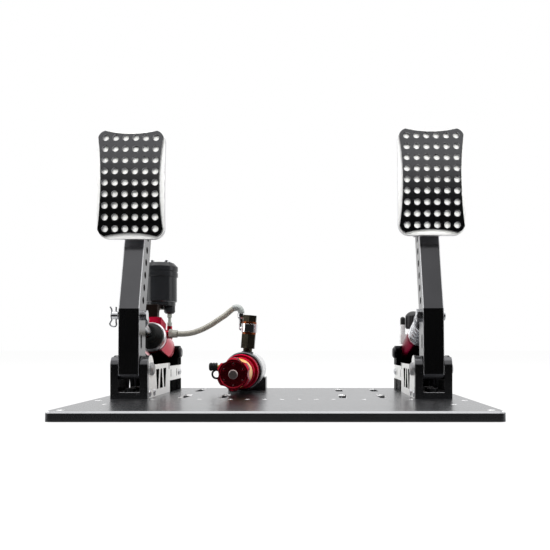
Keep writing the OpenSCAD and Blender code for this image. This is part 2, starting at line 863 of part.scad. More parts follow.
// Pin along X with a head on each end, the heads seated a given width apart
module headed_pin(width) {
    x_cyl(pin_d, width + 2 * over);
    for (s = [-1, 1]) rotate([0, s * 90, 0]) translate([0, 0, width / 2]) {
        cylinder(d = pin_head_d, h = 0.6 * pin_head_t);
        translate([0, 0, 0.6 * pin_head_t])
            cylinder(d1 = pin_head_d, d2 = 0.7 * pin_head_d, h = 0.4 * pin_head_t);
    }
}

module pivot_pins() {
    color("silver") {
        at_brake() translate([0, pivot_y, pivot_h]) headed_pin(2 * side_outer);
        at_throttle() translate([0, pivot_y, pivot_h]) headed_pin(2 * side_outer);
    }
}

module rear_pins() {
    color("silver") {
        at_brake() translate([0, rear_y, rear_h]) headed_pin(bracket_w);
        at_throttle() translate([0, rear_y, rear_h]) headed_pin(bracket_w);
    }
}

// Pedals, in the arm's frame

module arm_outline() {
    polygon([
        toe_front + low_dir * arm_toe, kink_front, tip_front - up_dir * arm_tip,
        tip_front + up_out * arm_tip, tip_back - up_out * arm_tip, tip_back - up_dir * arm_tip,
        kink_back, toe_back, toe_front + low_out * arm_toe,
    ]);
}

// Room in the arm's back for the rod eye and the rod's swing
module eye_mouth() {
    room = eye_d / 2 + 2 * face_gap;
    translate([rod_pin_back, rod_pin_up]) {
        circle(room);
        translate([0, -room]) square([arm_depth, 2 * room]);
    }
}

module arm() {
    color([0.16, 0.16, 0.17]) difference() {
        slab_x(arm_w) arm_outline();
        x_cyl(bush_d + 2 * seat_fit, arm_w + 2 * over);
        for (i = [0:arm_hole_count - 1]) let (p = arm_hole(i))
            translate([0, p.x, p.y]) x_cyl(arm_hole_d, arm_w + 2 * over);
        slab_x(arm_w + 2 * over) translate([-arm_front / 2, arm_slot_up])
            oblong(arm_slot_w, arm_slot_h);
        slab_x(eye_slot_w) eye_mouth();
        translate([0, rod_pin_back, rod_pin_up]) x_cyl(pin_d + 2 * seat_fit, arm_w + 2 * over);
    }
}

module pivot_bush() {
    color("darkgoldenrod") difference() {
        x_cyl(bush_d, arm_w);
        x_cyl(pin_d + 2 * running, arm_w + 2 * over);
    }
}

// Outline whose four sides curve in between round corners
module waisted_rect(w, h, r, waist) {
    // The curves run a little way into the corners
    half_w = w / 2 - 0.6 * r;
    half_h = h / 2 - 0.6 * r;
    side_r = (half_h * half_h + waist * waist) / (2 * waist);
    end_r = (half_w * half_w + waist * waist) / (2 * waist);
    difference() {
        rounded_rect(w, h, r);
        for (s = [-1, 1]) {
            translate([s * (w / 2 - waist + side_r), 0]) circle(side_r, $fn = 128);
            translate([0, s * (h / 2 - waist + end_r)]) circle(end_r, $fn = 128);
        }
    }
}

// Curved sheet between two depths behind the face, over an outline in X and Z
module curved_sheet(from, to) {
    reach = 4 * web_t;
    intersection() {
        rotate([90, 0, 0]) translate([0, 0, -to - reach])
            linear_extrude(to + 2 * reach) children();
        translate([0, face_curve, 0]) difference() {
            x_cyl(2 * (face_curve - from), 2 * back_w, $fn = 256);
            x_cyl(2 * (face_curve - to), 2 * back_w + 2 * over, $fn = 256);
        }
    }
}

module face_plate(lift) {
    color([0.1, 0.1, 0.11]) on_face(lift) curved_sheet(0, face_t) difference() {
        waisted_rect(face_w, face_h, face_corner_r, face_waist);
        for (c = [0:hole_cols - 1], r = [0:hole_rows - 1])
            translate([(c - (hole_cols - 1) / 2) * hole_pitch_x,
                       (r - (hole_rows - 1) / 2) * hole_pitch_z])
                circle(d = grip_hole_d, $fn = 24);
    }
}

module backing_plate(lift) {
    color("gainsboro") on_face(lift) curved_sheet(face_t, face_t + back_t)
        translate([0, -back_drop]) rounded_rect(back_w, back_h, back_corner_r);
}

// Cheek outline from the web to both mount bolts
module cheek_outline(lift) {
    depth = face_t + back_t + web_t / 2;
    polygon([
        face_point(depth, -web_h / 2, lift), face_point(depth, web_h / 2, lift),
        mount_high + [0, mount_head_d], mount_high + [mount_head_d, 0],
        mount_low + [mount_head_d, 0], mount_low - [0, mount_head_d],
    ]);
    for (p = [mount_low, mount_high]) translate(p) circle(mount_head_d);
}

module pedal_mount(lift) {
    from = face_t + back_t;
    color("darkgray") difference() {
        union() {
            on_face(lift) curved_sheet(from, from + web_t) square([web_w, web_h], center = true);
            difference() {
                for (s = [-1, 1]) translate([s * (arm_w + cheek_t) / 2, 0, 0])
                    slab_x(cheek_t) cheek_outline(lift);
                on_face(lift) translate([0, face_curve, 0]) difference() {
                    x_cyl(4 * face_curve, 2 * back_w);
                    x_cyl(2 * (face_curve - from - web_t / 2), 2 * back_w + 2 * over, $fn = 256);
                }
            }
        }
        for (p = [mount_low, mount_high])
            translate([0, p.x, p.y]) x_cyl(mount_bolt_d + 2 * seat_fit, 2 * web_w);
    }
}

module mount_bolts() {
    width = arm_w + 2 * cheek_t;
    color("silver") for (p = [mount_low, mount_high])
        translate([0, p.x, p.y]) {
            x_cyl(mount_bolt_d, width + 2 * over);
            rotate([0, 90, 0]) translate([0, 0, width / 2]) cylinder(d = mount_head_d, h = mount_head_t);
            rotate([0, -90, 0]) translate([0, 0, width / 2])
                cylinder(d = mount_head_d, h = mount_head_t, $fn = 6);
        }
}

// Clevis pin with a round head on the right and a nut or free end on the left
module clevis_pin(free_end) {
    color("silver") translate([0, rod_pin_back, rod_pin_up]) difference() {
        union() {
            translate([-free_end / 2, 0, 0]) x_cyl(pin_d, arm_w + free_end + over);
            rotate([0, 90, 0]) translate([0, 0, arm_w / 2]) cylinder(d = mount_head_d, h = mount_head_t);
            rotate([0, -90, 0]) translate([0, 0, arm_w / 2])
                cylinder(d = 1.3 * mount_head_d, h = mount_head_t, $fn = 6);
        }
        if (free_end > mount_head_t)
            translate([clip_x, 0, 0]) cylinder(d = clip_wire + 2 * face_gap, h = 2 * pin_d, center = true);
    }
}

// Wire of the clip passes through the pin's free end
clip_x = -arm_w / 2 - mount_head_t - 3;
clip_w = 6.5;
pin_free_end = mount_head_t + 6;

module brake_pin_clip() {
    bend = clip_w / 2;
    color("gainsboro") at_brake() on_pivot(0)
        translate([clip_x - bend, rod_pin_back, rod_pin_up]) rotate([90, 0, 0]) {
            for (s = [-1, 1]) {
                translate([s * bend, 0, 0]) rotate([90, 0, 0])
                    cylinder(d = clip_wire, h = clip_len - clip_w, center = true);
                translate([0, s * (clip_len - clip_w) / 2, 0]) rotate(90 - s * 90)
                    rotate_extrude(angle = 180) translate([bend, 0]) circle(d = clip_wire, $fn = 16);
            }
        }
}

module brake_arm() {
    at_brake() on_pivot(0) arm();
}

module brake_pivot_bush() {
    at_brake() on_pivot(0) pivot_bush();
}

module brake_pedal_mount() {
    at_brake() on_pivot(0) pedal_mount(0);
}

module brake_backing_plate() {
    at_brake() on_pivot(0) backing_plate(0);
}

module brake_face_plate() {
    at_brake() on_pivot(0) face_plate(0);
}

module brake_mount_bolts() {
    at_brake() on_pivot(0) mount_bolts();
}

module brake_clevis_pin() {
    at_brake() on_pivot(0) clevis_pin(pin_free_end);
}

module throttle_arm() {
    at_throttle() on_pivot(throttle_rest) arm();
}

module throttle_pivot_bush() {
    at_throttle() on_pivot(throttle_rest) pivot_bush();
}

module throttle_pedal_mount() {
    at_throttle() on_pivot(throttle_rest) pedal_mount(throttle_face_up);
}

module throttle_backing_plate() {
    at_throttle() on_pivot(throttle_rest) backing_plate(throttle_face_up);
}

module throttle_face_plate() {
    at_throttle() on_pivot(throttle_rest) face_plate(throttle_face_up);
}

module throttle_mount_bolts() {
    at_throttle() on_pivot(throttle_rest) mount_bolts();
}

module throttle_clevis_pin() {
    at_throttle() on_pivot(throttle_rest) clevis_pin(mount_head_t);
}

// Rods and cylinders, in the rod's frame

// How far a rod reaches into its barrel at rest, and the bore's spare depth
rod_reach = 12;
rod_stroke = 17;

module rod_end(len) {
    color("silver") difference() {
        union() {
            x_cyl(eye_d, eye_w);
            cylinder(d = rod_d, h = len);
        }
        x_cyl(pin_d + 2 * eye_play, eye_w + 2 * over);
    }
}

// Rod with a disc on its front end
module disc_rod(from, disc, t, to) {
    color("gainsboro") {
        translate([0, 0, from]) cylinder(d = disc - t / 2, h = t);
        translate([0, 0, from + t / 4]) cylinder(d = disc, h = t / 2);
        translate([0, 0, from]) cylinder(d = rod_d, h = to - from);
    }
}

module brake_rod_end() {
    at_brake() on_rod(0) rod_end(disc_start);
}

module brake_pushrod() {
    at_brake() on_rod(0) disc_rod(disc_start, disc_d, disc_t, barrel_start + rod_reach);
}

module throttle_rod_end() {
    at_throttle() on_rod(throttle_rest) rod_end(seat_start);
}

module throttle_rod() {
    at_throttle() on_rod(throttle_rest)
        disc_rod(seat_start, seat_d, seat_t, damper_start + rod_reach);
}

// Barrel with a rod bore, two grooves and a rear eye
module barrel(d, from, to, len) {
    r = d / 2;
    bore_r = rod_r + running;
    groove = 1.2;
    bore_end = from + rod_reach + rod_stroke;
    difference() {
        union() {
            rotate_extrude() polygon([
                [bore_r, from], [r - barrel_bevel, from], [r, from + barrel_bevel],
                [r, from + 6], [r - groove, from + 6], [r - groove, from + 8],
                [r, from + 8], [r, to - 7], [r - groove, to - 7], [r - groove, to - 5],
                [r, to - 5], [r, to - 2], [r - 2, to], [0, to], [0, bore_end],
                [bore_r, bore_end],
            ]);
            translate([0, 0, to - over]) cylinder(d = rear_eye_d, h = len - to + over);
            translate([0, 0, len]) x_cyl(rear_eye_d, rear_eye_w);
        }
        translate([0, 0, len]) x_cyl(pin_d + 2 * running, rear_eye_w + 2 * over);
    }
}

// Face of the hose outlet, from the middle of the module
outlet_face = barrel_d / 2;
outlet_boss_d = 9;

module master_barrel() {
    color([0.6, 0.05, 0.12]) at_brake() {
        difference() {
            union() {
                on_rod(0) barrel(barrel_d, barrel_start, barrel_end, rod_len(0));
                translate([barrel_d / 4, hose_start.y, hose_start.z - deck]) rotate([0, 90, 0])
                    cylinder(d = outlet_boss_d, h = outlet_face - barrel_d / 4);
                let (p = rod_point(barrel_end - boss_d / 2, 0, 0))
                    translate([boss_x, reservoir_y, p.y]) cylinder(d = port_d, h = port_h - p.y);
            }
            on_rod(0) translate([0, 0, barrel_start])
                cylinder(r = rod_r + running, h = rod_reach + rod_stroke);
        }
    }
}

module rod_boot() {
    r = boot_d / 2;
    bore_r = rod_r + face_gap;
    from = barrel_start - boot_len;
    // Radius and length of the folds, as shares of the boot's
    folds = [
        [0.66, 0], [0.74, 0.11], [0.74, 0.21], [0.62, 0.3], [0.84, 0.43], [0.84, 0.51],
        [0.7, 0.59], [0.93, 0.64], [1, 0.71],
    ];
    color([0.1, 0.1, 0.1]) at_brake() on_rod(0) rotate_extrude() polygon([
        [bore_r, from], for (f = folds) [f[0] * r, from + f[1] * boot_len],
        [r, barrel_start], [bore_r, barrel_start],
    ]);
}

module reservoir_saddle() {
    color([0.6, 0.05, 0.12]) at_brake() on_rod(0) difference() {
        translate([-saddle_w / 2, -saddle_top, saddle_start]) cube([saddle_w, saddle_top, saddle_len]);
        cylinder(r = barrel_d / 2 + seat_fit, h = rod_len(0));
    }
}

// Reservoir bracket stands left of the outlet boss
post_x = boss_x - boss_d / 2 - post_w / 2 - face_gap;

module reservoir_bracket() {
    u = saddle_start + (saddle_len - post_t) / 2;
    foot_front = rod_point(u, saddle_top, 0);
    foot_back = rod_point(u + post_t, saddle_top, 0);
    shelf_end = reservoir_y + reservoir_d / 4;
    color([0.2, 0.15, 0.13]) at_brake() translate([post_x, 0, 0]) slab_x(post_w) polygon([
        foot_front, foot_back, [foot_back.x, reservoir_h - 2 * shelf_t],
        [foot_back.x + shelf_t, reservoir_h - shelf_t], [shelf_end, reservoir_h - shelf_t],
        [shelf_end, reservoir_h], [foot_front.x, reservoir_h],
    ]);
}

module reservoir_body() {
    r = reservoir_d / 2;
    edge = 0.8;
    color([0.14, 0.14, 0.15]) at_brake() translate([0, reservoir_y, reservoir_h]) {
        rotate_extrude() polygon([
            [0, 0], [r - 3 * edge, 0], [r - 2 * edge, edge], [r - 2 * edge, ring_h],
            [r - edge, ring_h], [r, ring_h + edge], [r, reservoir_body_h], [0, reservoir_body_h],
        ]);
        translate([boss_x, 0, -boss_drop]) {
            cylinder(d1 = boss_d - 4, d2 = boss_d, h = 2);
            translate([0, 0, 2]) cylinder(d = boss_d, h = boss_drop);
        }
    }
}

lid_screw_angles = [45:90:315];
lid_screw_shank = 0.6 * lid_screw_d;
lid_screw_depth = 6;

module reservoir_lid() {
    r = lid_d / 2;
    color([0.12, 0.12, 0.13]) at_brake()
        translate([0, reservoir_y, reservoir_h + reservoir_body_h]) difference() {
            rotate_extrude() polygon([
                [0, 0], [r - 0.6, 0], [r, 0.6], [r, 5], [r - 0.7, 5.7], [r - 0.7, 6.7], [r, 7.4],
                [r, lid_h - lid_bevel], [r - lid_bevel, lid_h], [0, lid_h],
            ]);
            for (a = lid_screw_angles) rotate(a) translate([lid_screw_r, 0, lid_h - lid_screw_depth])
                cylinder(d = lid_screw_shank + 2 * seat_fit, h = lid_h);
        }
}

module lid_screws() {
    color("silver") at_brake() translate([0, reservoir_y, reservoir_h + reservoir_body_h + lid_h])
        for (a = lid_screw_angles) rotate(a) translate([lid_screw_r, 0, 0]) {
            translate([0, 0, over - lid_screw_depth])
                cylinder(d = lid_screw_shank, h = lid_screw_depth - over);
            difference() {
                cylinder(d = lid_screw_d, h = lid_screw_h);
                translate([0, 0, lid_screw_h / 2]) cylinder(d = lid_screw_d / 2, h = lid_screw_h, $fn = 6);
            }
        }
}

module feed_tube() {
    low = port_h;
    high = reservoir_h - boss_drop;
    color("darkgray") at_brake() translate([boss_x, reservoir_y, low]) {
        cylinder(d = feed_d, h = high - low);
        for (z = [0, (high - low) * 0.7]) translate([0, 0, z])
            cylinder(d = 1.5 * feed_d, h = (high - low) * 0.3);
    }
}

module outlet_fitting() {
    hose_face = hose_start.x - brake_x - face_gap;
    nut = 0.4 * (hose_face - outlet_face);
    color("silver") at_brake() translate([outlet_face, hose_start.y, hose_start.z - deck])
        rotate([0, 90, 0]) {
            cylinder(d = 1.25 * ferrule_d, h = nut, $fn = 6);
            translate([0, 0, nut]) cylinder(d = ferrule_d, h = hose_face - outlet_face - nut);
        }
}

module damper_barrel() {
    color([0.6, 0.05, 0.12]) at_throttle() on_rod(throttle_rest)
        barrel(damper_d, damper_start, damper_end, rod_len(throttle_rest));
}

// Adjuster block on the damper's neck, with its stem and the gas valve
valve_w = 11;
gas_x = dial_x - dial_d / 2 - gas_d / 2 - face_gap;

module damper_valve() {
    seat = rod_point(rod_len(throttle_rest) - (rear_y - valve_y), rear_eye_d / 2, throttle_rest).y;
    block_h = dial_base - face_gap - seat - 6;
    color("silver") at_throttle() translate([0, valve_y, 0]) difference() {
        union() {
            translate([gas_x - gas_d / 2, -valve_w / 2, seat])
                cube([dial_x - gas_x + gas_d / 2 + valve_w / 2, valve_w, block_h]);
            translate([dial_x, 0, seat]) cylinder(d = 1.6 * stem_d, h = dial_base - face_gap - seat);
            translate([dial_x, 0, seat]) cylinder(d = stem_d, h = dial_base + dial_h / 2 - seat);
            translate([gas_x, 0, seat]) cylinder(d = gas_d, h = gas_top - gas_d / 2 - seat);
            translate([gas_x, 0, gas_top - gas_d / 2]) sphere(d = gas_d);
        }
        translate([0, -valve_y, 0]) on_rod(throttle_rest)
            cylinder(d = rear_eye_d + 2 * seat_fit, h = 2 * rod_len(throttle_rest));
    }
}

module damper_knob() {
    r = dial_d / 2;
    crown = 0.62 * r;
    bore_r = stem_d / 2 + running;
    color([0.1, 0.1, 0.1]) at_throttle() translate([dial_x, valve_y, dial_base]) difference() {
        union() {
            cylinder(d1 = dial_d - 2, d2 = dial_d, h = 2);
            translate([0, 0, 2]) cylinder(d = dial_d, h = dial_h - crown - 2);
            translate([0, 0, dial_h - crown]) intersection() {
                translate([0, 0, (crown * crown - r * r) / (2 * crown)])
                    sphere(r = (crown * crown + r * r) / (2 * crown));
                cylinder(d = dial_d, h = dial_h);
            }
        }
        translate([0, 0, -over]) cylinder(r = bore_r, h = dial_h / 2 + over + face_gap);
        for (a = [0:30:330]) rotate(a) translate([r + 0.5, 0, -over])
            cylinder(d = 2.4, h = dial_h - crown + over, $fn = 16);
    }
}

// Swept tubes: the coil spring and the hose

function unit(v) = v / norm(v);
function tangent(path, i) = unit(path[min(i + 1, len(path) - 1)] - path[max(i - 1, 0)]);
function tube_ring(c, t, side, r, n) = let (u = unit(cross(t, side)), v = cross(u, t))
    [for (k = [0:n - 1]) c + r * (cos(360 * k / n) * u + sin(360 * k / n) * v)];

// Tube of radius r along a path, with one sideways vector for each point
module tube(path, sides, r, n) {
    last = len(path) - 1;
    points = [for (i = [0:last]) each tube_ring(path[i], tangent(path, i), sides[i], r, n)];
    walls = [for (i = [0:last - 1], k = [0:n - 1])
        let (a = i * n + k, b = i * n + (k + 1) % n) each [[a, b, a + n], [b, b + n, a + n]]];
    front = [for (k = [1:n - 2]) [0, k + 1, k]];
    back = [for (k = [1:n - 2]) [last * n, last * n + k, last * n + k + 1]];
    polyhedron(points, concat(walls, front, back));
}

// Helix with straight ends, one wire diameter long, square to the seats
spring_steps = spring_turns * rings_per_turn;
spring_coil_from = spring_from + spring_wire;
spring_coil_to = spring_to - spring_wire;
function coil_point(i) = let (a = 360 * i / rings_per_turn)
    [spring_r * cos(a), spring_r * sin(a),
     spring_coil_from + (spring_coil_to - spring_coil_from) * i / spring_steps];
SPRING = concat(
    [[spring_r, 0, spring_from]],
    [for (i = [0:spring_steps]) coil_point(i)],
    [coil_point(spring_steps) + [0, 0, spring_wire]]
);
spring_gap = min([for (i = [0:len(SPRING) - 1], j = [i + rings_per_turn / 2:1:len(SPRING) - 1])
    norm(SPRING[i] - SPRING[j])]) - spring_wire;
echo(spring_gap = spring_gap);

module throttle_spring() {
    color("gainsboro") at_throttle() on_rod(throttle_rest)
        tube(SPRING, [for (p = SPRING) [p.x, p.y, 0]], spring_wire / 2, spring_sides);
}

module brake_hose() {
    color([0.66, 0.64, 0.6]) tube(HOSE, [for (p = HOSE) [0, 1, 0]], hose_d / 2, hose_sides);
}

// Slave unit, about a line along Y

module slave_cradle() {
    front = pressure_end - cradle_len - 2;
    color([0.12, 0.12, 0.13]) difference() {
        translate([slave_x - cradle_w / 2, front, deck]) cube([cradle_w, cradle_len, cradle_h]);
        at_slave() translate([0, front - over, 0]) y_cyl(pressure_d + 2 * seat_fit, cradle_len + 2 * over);
    }
}

module slave_cylinder() {
    wall = 5;
    r = pressure_d / 2;
    color("gainsboro") at_slave() translate([0, head_end, 0]) difference() {
        turned_y() polygon([
            [0, 0], [r - 0.8, 0], [r, 0.8], [r, pressure_len - 2], [r - 2, pressure_len], [0, pressure_len],
        ]);
        translate([0, -over, 0]) y_cyl(2 * (r - wall), pressure_len - wall + over);
        y_cyl(guide_d + 2 * seat_fit, pressure_len - 2);
    }
}

stack_base = head_d / 2 + 0.4;
nipple_z = 4.3;

module slave_head() {
    r = head_d / 2;
    color([0.12, 0.12, 0.13]) difference() {
        union() {
            at_slave() translate([0, head_start, 0]) turned_y() polygon([
                [0, 0], [r - 1.2, 0], [r, 1.2], [r, head_len - 5], [r - 0.8, head_len - 4.2],
                [r - 0.8, head_len - 3], [r, head_len - 2.2], [r, head_len], [0, head_len],
            ]);
            on_stack() cylinder(d = neck_d + 3, h = stack_base);
        }
        at_slave() translate([0, head_start - over, 0])
            y_cyl(piston_d + 2 * running, head_len + 2 * over);
    }
}

module slave_piston() {
    color("silver") at_slave() translate([0, collar_end, 0]) difference() {
        y_cyl(piston_d, piston_len);
        translate([0, -over, 0]) y_cyl(guide_d + 2 * running, piston_len + 2 * over);
    }
}

module slave_collar() {
    f = flange_d / 2;
    d = drum_d / 2;
    bore_r = guide_d / 2 + running;
    neck = 0.83 * f;
    edge = 0.05 * f;
    // Ends of the flange, the ring and the drum's groove along the collar
    at = [for (k = [0.17, 0.26, 0.37, 0.45, 0.62, 0.68]) k * collar_len];
    color([0.6, 0.05, 0.12]) at_slave() translate([0, collar_start, 0]) turned_y() polygon([
        [bore_r, 0], [f - edge, 0], [f, edge], [f, at[0] - edge], [f - edge, at[0]], [neck, at[0]],
        [neck, at[1]], [f - edge, at[1]], [f, at[1] + edge], [f, at[2] - edge], [f - edge, at[2]],
        [neck, at[2]], [neck, at[3]], [d - edge, at[3]], [d, at[3] + edge], [d, at[4]],
        [d - 2 * edge, at[4]], [d - 2 * edge, at[5]], [d, at[5]], [d, collar_len - edge],
        [d - edge, collar_len], [bore_r, collar_len],
    ]);
}

module slave_elastomer() {
    r = elastomer_d / 2;
    bore_r = guide_d / 2 + face_gap;
    color("orange") at_slave() translate([0, elastomer_start, 0]) turned_y() polygon([
        [bore_r, 0], [r - 1, 0], [r, 1], [r, elastomer_len / 2 - 2], [r - 1.5, elastomer_len / 2],
        [r, elastomer_len / 2 + 2], [r, elastomer_len - 1], [r - 1, elastomer_len], [bore_r, elastomer_len],
    ]);
}

module guide_rod() {
    r = guide_d / 2;
    edge = 0.8;
    front = knob_front - edge;
    len = pressure_end - 2 - front;
    color("silver") at_slave() translate([0, front, 0])
        turned_y() polygon([[0, 0], [r - edge, 0], [r, edge], [r, len], [0, len]]);
}

module preload_knob() {
    r = knob_d / 2;
    edge = 1.6;
    dish_r = knob_screw_r + knob_screw_d / 2 + 1;
    dish = 0.8;
    color([0.45, 0.02, 0.08]) at_slave() translate([0, knob_front, 0]) difference() {
        turned_y() polygon([
            [guide_d / 2 + running, dish], [dish_r - dish, dish], [dish_r, 0], [r - edge, 0], [r, edge],
            [r, knob_len - 4], [r - 1.5, knob_len - 3], [r - 1.5, knob_len],
            [guide_d / 2 + running, knob_len],
        ]);
        for (i = [0:knob_lobes - 1]) rotate([0, i * 360 / knob_lobes, 0]) {
            translate([r - scallop_depth + scallop_d / 2, -over, 0]) y_cyl(scallop_d, knob_len + 2 * over);
            rotate([0, 180 / knob_lobes, 0]) translate([knob_screw_r, -over, 0])
                y_cyl(knob_screw_d, over + dish + 1.6);
        }
    }
}

// Bleed nipple on the head's left side, with its rubber cap
module bleed_nipple() {
    x = -sqrt(head_d * head_d / 4 - nipple_z * nipple_z);
    color("tan") difference() {
        at_slave() translate([x, stack_y, nipple_z]) rotate([0, -90, 0]) {
            translate([0, 0, -over]) cylinder(d = 2 * nipple_d, h = over + 5, $fn = 6);
            cylinder(d = nipple_d, h = nipple_len);
        }
        at_slave() translate([0, head_start - over, 0]) y_cyl(head_d + 2 * seat_fit, head_len + 2 * over);
    }
}

module bleed_cap() {
    x = -sqrt(head_d * head_d / 4 - nipple_z * nipple_z) - nipple_len + cap_len / 2;
    loop_r = 4.6;
    loop_wire = 2.2;
    color([0.2, 0.22, 0.21]) at_slave() translate([x, stack_y, nipple_z]) {
        difference() {
            union() {
                rotate([0, -90, 0]) cylinder(d = cap_d, h = cap_len - 1.2);
                translate([1.2 - cap_len, 0, 0]) rotate([0, -90, 0])
                    cylinder(d1 = cap_d, d2 = cap_d - 2.4, h = 1.2);
                translate([-loop_wire / 2, 0, -cap_d / 2 - loop_r + loop_wire / 2]) rotate([90, 0, 0])
                    rotate_extrude() translate([loop_r, 0]) circle(d = loop_wire, $fn = 16);
            }
            rotate([0, 90, 0]) translate([0, 0, -cap_len / 2])
                cylinder(d = nipple_d + 2 * face_gap, h = 2 * cap_len);
        }
    }
}

// Sensor, washers, banjo and bolt, up the stack
sensor_base = stack_base + neck_len;
washer_low = sensor_base + sensor_h;
banjo_base = washer_low + washer_t;
washer_high = banjo_base + banjo_h;
head_base = washer_high + washer_t;
bolt_depth = 9;
loose = 0.2;

module pressure_sensor() {
    color([0.16, 0.15, 0.12]) on_stack() difference() {
        union() {
            translate([0, 0, stack_base]) cylinder(d = neck_d, h = neck_len);
            translate([0, 0, sensor_base]) rotate(30) cylinder(d = sensor_d, h = sensor_h, $fn = 6);
        }
        translate([0, 0, washer_low - bolt_depth])
            cylinder(d = banjo_bolt_d + 2 * seat_fit, h = bolt_depth + over);
    }
}

module copper_washers() {
    color([0.55, 0.3, 0.18]) on_stack() for (z = [washer_low, washer_high])
        translate([0, 0, z]) difference() {
            cylinder(d = washer_d, h = washer_t);
            translate([0, 0, -over]) cylinder(d = banjo_bolt_d + 2 * loose, h = washer_t + 2 * over);
        }
}

module banjo_bolt() {
    color([0.13, 0.14, 0.13]) on_stack() {
        translate([0, 0, washer_low - bolt_depth + face_gap])
            cylinder(d = banjo_bolt_d, h = head_base - washer_low + bolt_depth);
        translate([0, 0, head_base]) rotate(30) cylinder(d = banjo_head_d, h = banjo_head_h, $fn = 6);
    }
}

// Banjo eye, its neck that leaves to the back left and turns up, and the ferrule that holds the hose
module banjo_fitting() {
    mid = banjo_base + banjo_h / 2;
    eye = [slave_x + stack_x + mid * sin(stack_lean), stack_y, deck + slave_h + mid * cos(stack_lean)];
    reach = [eye.x - hose_end.x, eye.y - hose_end.y];
    ferrule = hose_end.z - face_gap - ferrule_len;
    cone = ferrule_len / 3;
    color("gainsboro") {
        difference() {
            union() {
                on_stack() translate([0, 0, banjo_base]) cylinder(d = banjo_d, h = banjo_h);
                translate([hose_end.x, hose_end.y, eye.z]) rotate(atan2(reach.y, reach.x)) rotate([0, 90, 0])
                    cylinder(d = banjo_neck_d, h = norm(reach));
            }
            on_stack() translate([0, 0, banjo_base - over])
                cylinder(d = banjo_bolt_d + 2 * loose, h = banjo_h + 2 * over);
        }
        translate([hose_end.x, hose_end.y, eye.z]) {
            sphere(d = banjo_neck_d);
            cylinder(d = banjo_neck_d, h = ferrule + cone - eye.z);
        }
        translate([hose_end.x, hose_end.y, ferrule]) rotate_extrude() polygon([
            [0, 0], [banjo_neck_d / 2, 0], [ferrule_d / 2, cone],
            [ferrule_d / 2, ferrule_len], [0, ferrule_len],
        ]);
    }
}

base_plate();
brake_front_bracket();
throttle_front_bracket();
brake_side_plates();
throttle_side_plates();
brake_rear_bracket();
throttle_rear_bracket();
bracket_bolts();
side_plate_screws();
pivot_pins();
rear_pins();
brake_arm();
brake_pivot_bush();
brake_pedal_mount();
brake_backing_plate();
brake_face_plate();
brake_mount_bolts();
brake_clevis_pin();
brake_pin_clip();
throttle_arm();
throttle_pivot_bush();
throttle_pedal_mount();
throttle_backing_plate();
throttle_face_plate();
throttle_mount_bolts();
throttle_clevis_pin();
brake_rod_end();
brake_pushrod();
rod_boot();
master_barrel();
reservoir_saddle();
reservoir_bracket();
reservoir_body();
reservoir_lid();
lid_screws();
feed_tube();
outlet_fitting();
throttle_rod_end();
throttle_rod();
throttle_spring();
damper_barrel();
damper_valve();
damper_knob();
slave_cradle();
slave_cylinder();
slave_head();
slave_piston();
slave_collar();
slave_elastomer();
guide_rod();
preload_knob();
bleed_nipple();
bleed_cap();
pressure_sensor();
copper_washers();
banjo_fitting();
banjo_bolt();
brake_hose();
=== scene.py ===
"""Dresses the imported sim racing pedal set: finishes on every solid, the soft and wound pieces,
the small screws, and a pale studio stage seen by the photograph's camera."""

import math

import bmesh
import bpy
from mathutils import Matrix, Vector


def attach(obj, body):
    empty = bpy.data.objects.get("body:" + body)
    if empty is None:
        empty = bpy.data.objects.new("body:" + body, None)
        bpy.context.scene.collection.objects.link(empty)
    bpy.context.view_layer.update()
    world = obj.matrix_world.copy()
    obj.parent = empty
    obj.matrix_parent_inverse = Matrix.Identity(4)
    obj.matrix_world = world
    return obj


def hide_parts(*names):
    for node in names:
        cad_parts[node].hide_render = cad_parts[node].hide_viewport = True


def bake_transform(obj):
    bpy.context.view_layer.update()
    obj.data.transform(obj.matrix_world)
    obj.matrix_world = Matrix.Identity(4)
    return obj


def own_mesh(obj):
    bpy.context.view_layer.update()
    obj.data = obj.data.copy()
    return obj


bl_info = {
    "name": "Sim racing pedal set",
    "version": (1, 0, 0),
    "blender": (4, 5, 0),
    "location": "3D View > Sidebar > Pedals",
    "description": "Finishes, soft pieces and stage of a hydraulic sim racing pedal set",
    "category": "Object",
}

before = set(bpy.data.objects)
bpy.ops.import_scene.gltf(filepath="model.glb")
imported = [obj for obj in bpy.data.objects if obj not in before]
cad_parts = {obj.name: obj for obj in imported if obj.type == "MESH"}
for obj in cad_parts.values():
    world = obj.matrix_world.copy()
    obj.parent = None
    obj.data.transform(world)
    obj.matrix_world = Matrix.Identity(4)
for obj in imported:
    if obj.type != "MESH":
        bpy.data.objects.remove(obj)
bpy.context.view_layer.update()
MM = 0.001

# Middle of each pedal module, and the rod axis from the clevis pin to the rear pivot
BRAKE_X, THROTTLE_X = -148, 146.5
BRAKE_PIN, BRAKE_DIR = (BRAKE_X, -10, 90), (0, 0.964116, -0.265481)
THROTTLE_PIN, THROTTLE_DIR = (THROTTLE_X, -8.613, 89.956), (0, 0.963504, -0.267694)
SLAVE_X, SLAVE_Z = -46.5, 32.5

# Heel plate: its top, its bevel, where its round holes and the far ends of its slots lie, and how deep the
# painted highlight on the slots' far walls reaches
PLATE_TOP, PLATE_BEVEL, PLATE_INNER_X = 8.5, 1.7, 180
HOLES_Y, SLOTS_Y, SLOT_HIGHLIGHT = (-148, 20), (20, 146), 1.4
# Arms: half width, kinks, lean of the front below and above the kink, and the bare strip on its edges
ARM_HALF, BRAKE_KINK, THROTTLE_KINK = 10, (-26.2, 96), (-24.65, 96.38)
ARM_LEANS, BRAKE_LEAN, THROTTLE_LEAN, EDGE_STRIP = (1.4, 16.9), 0, 1.5, 0.7
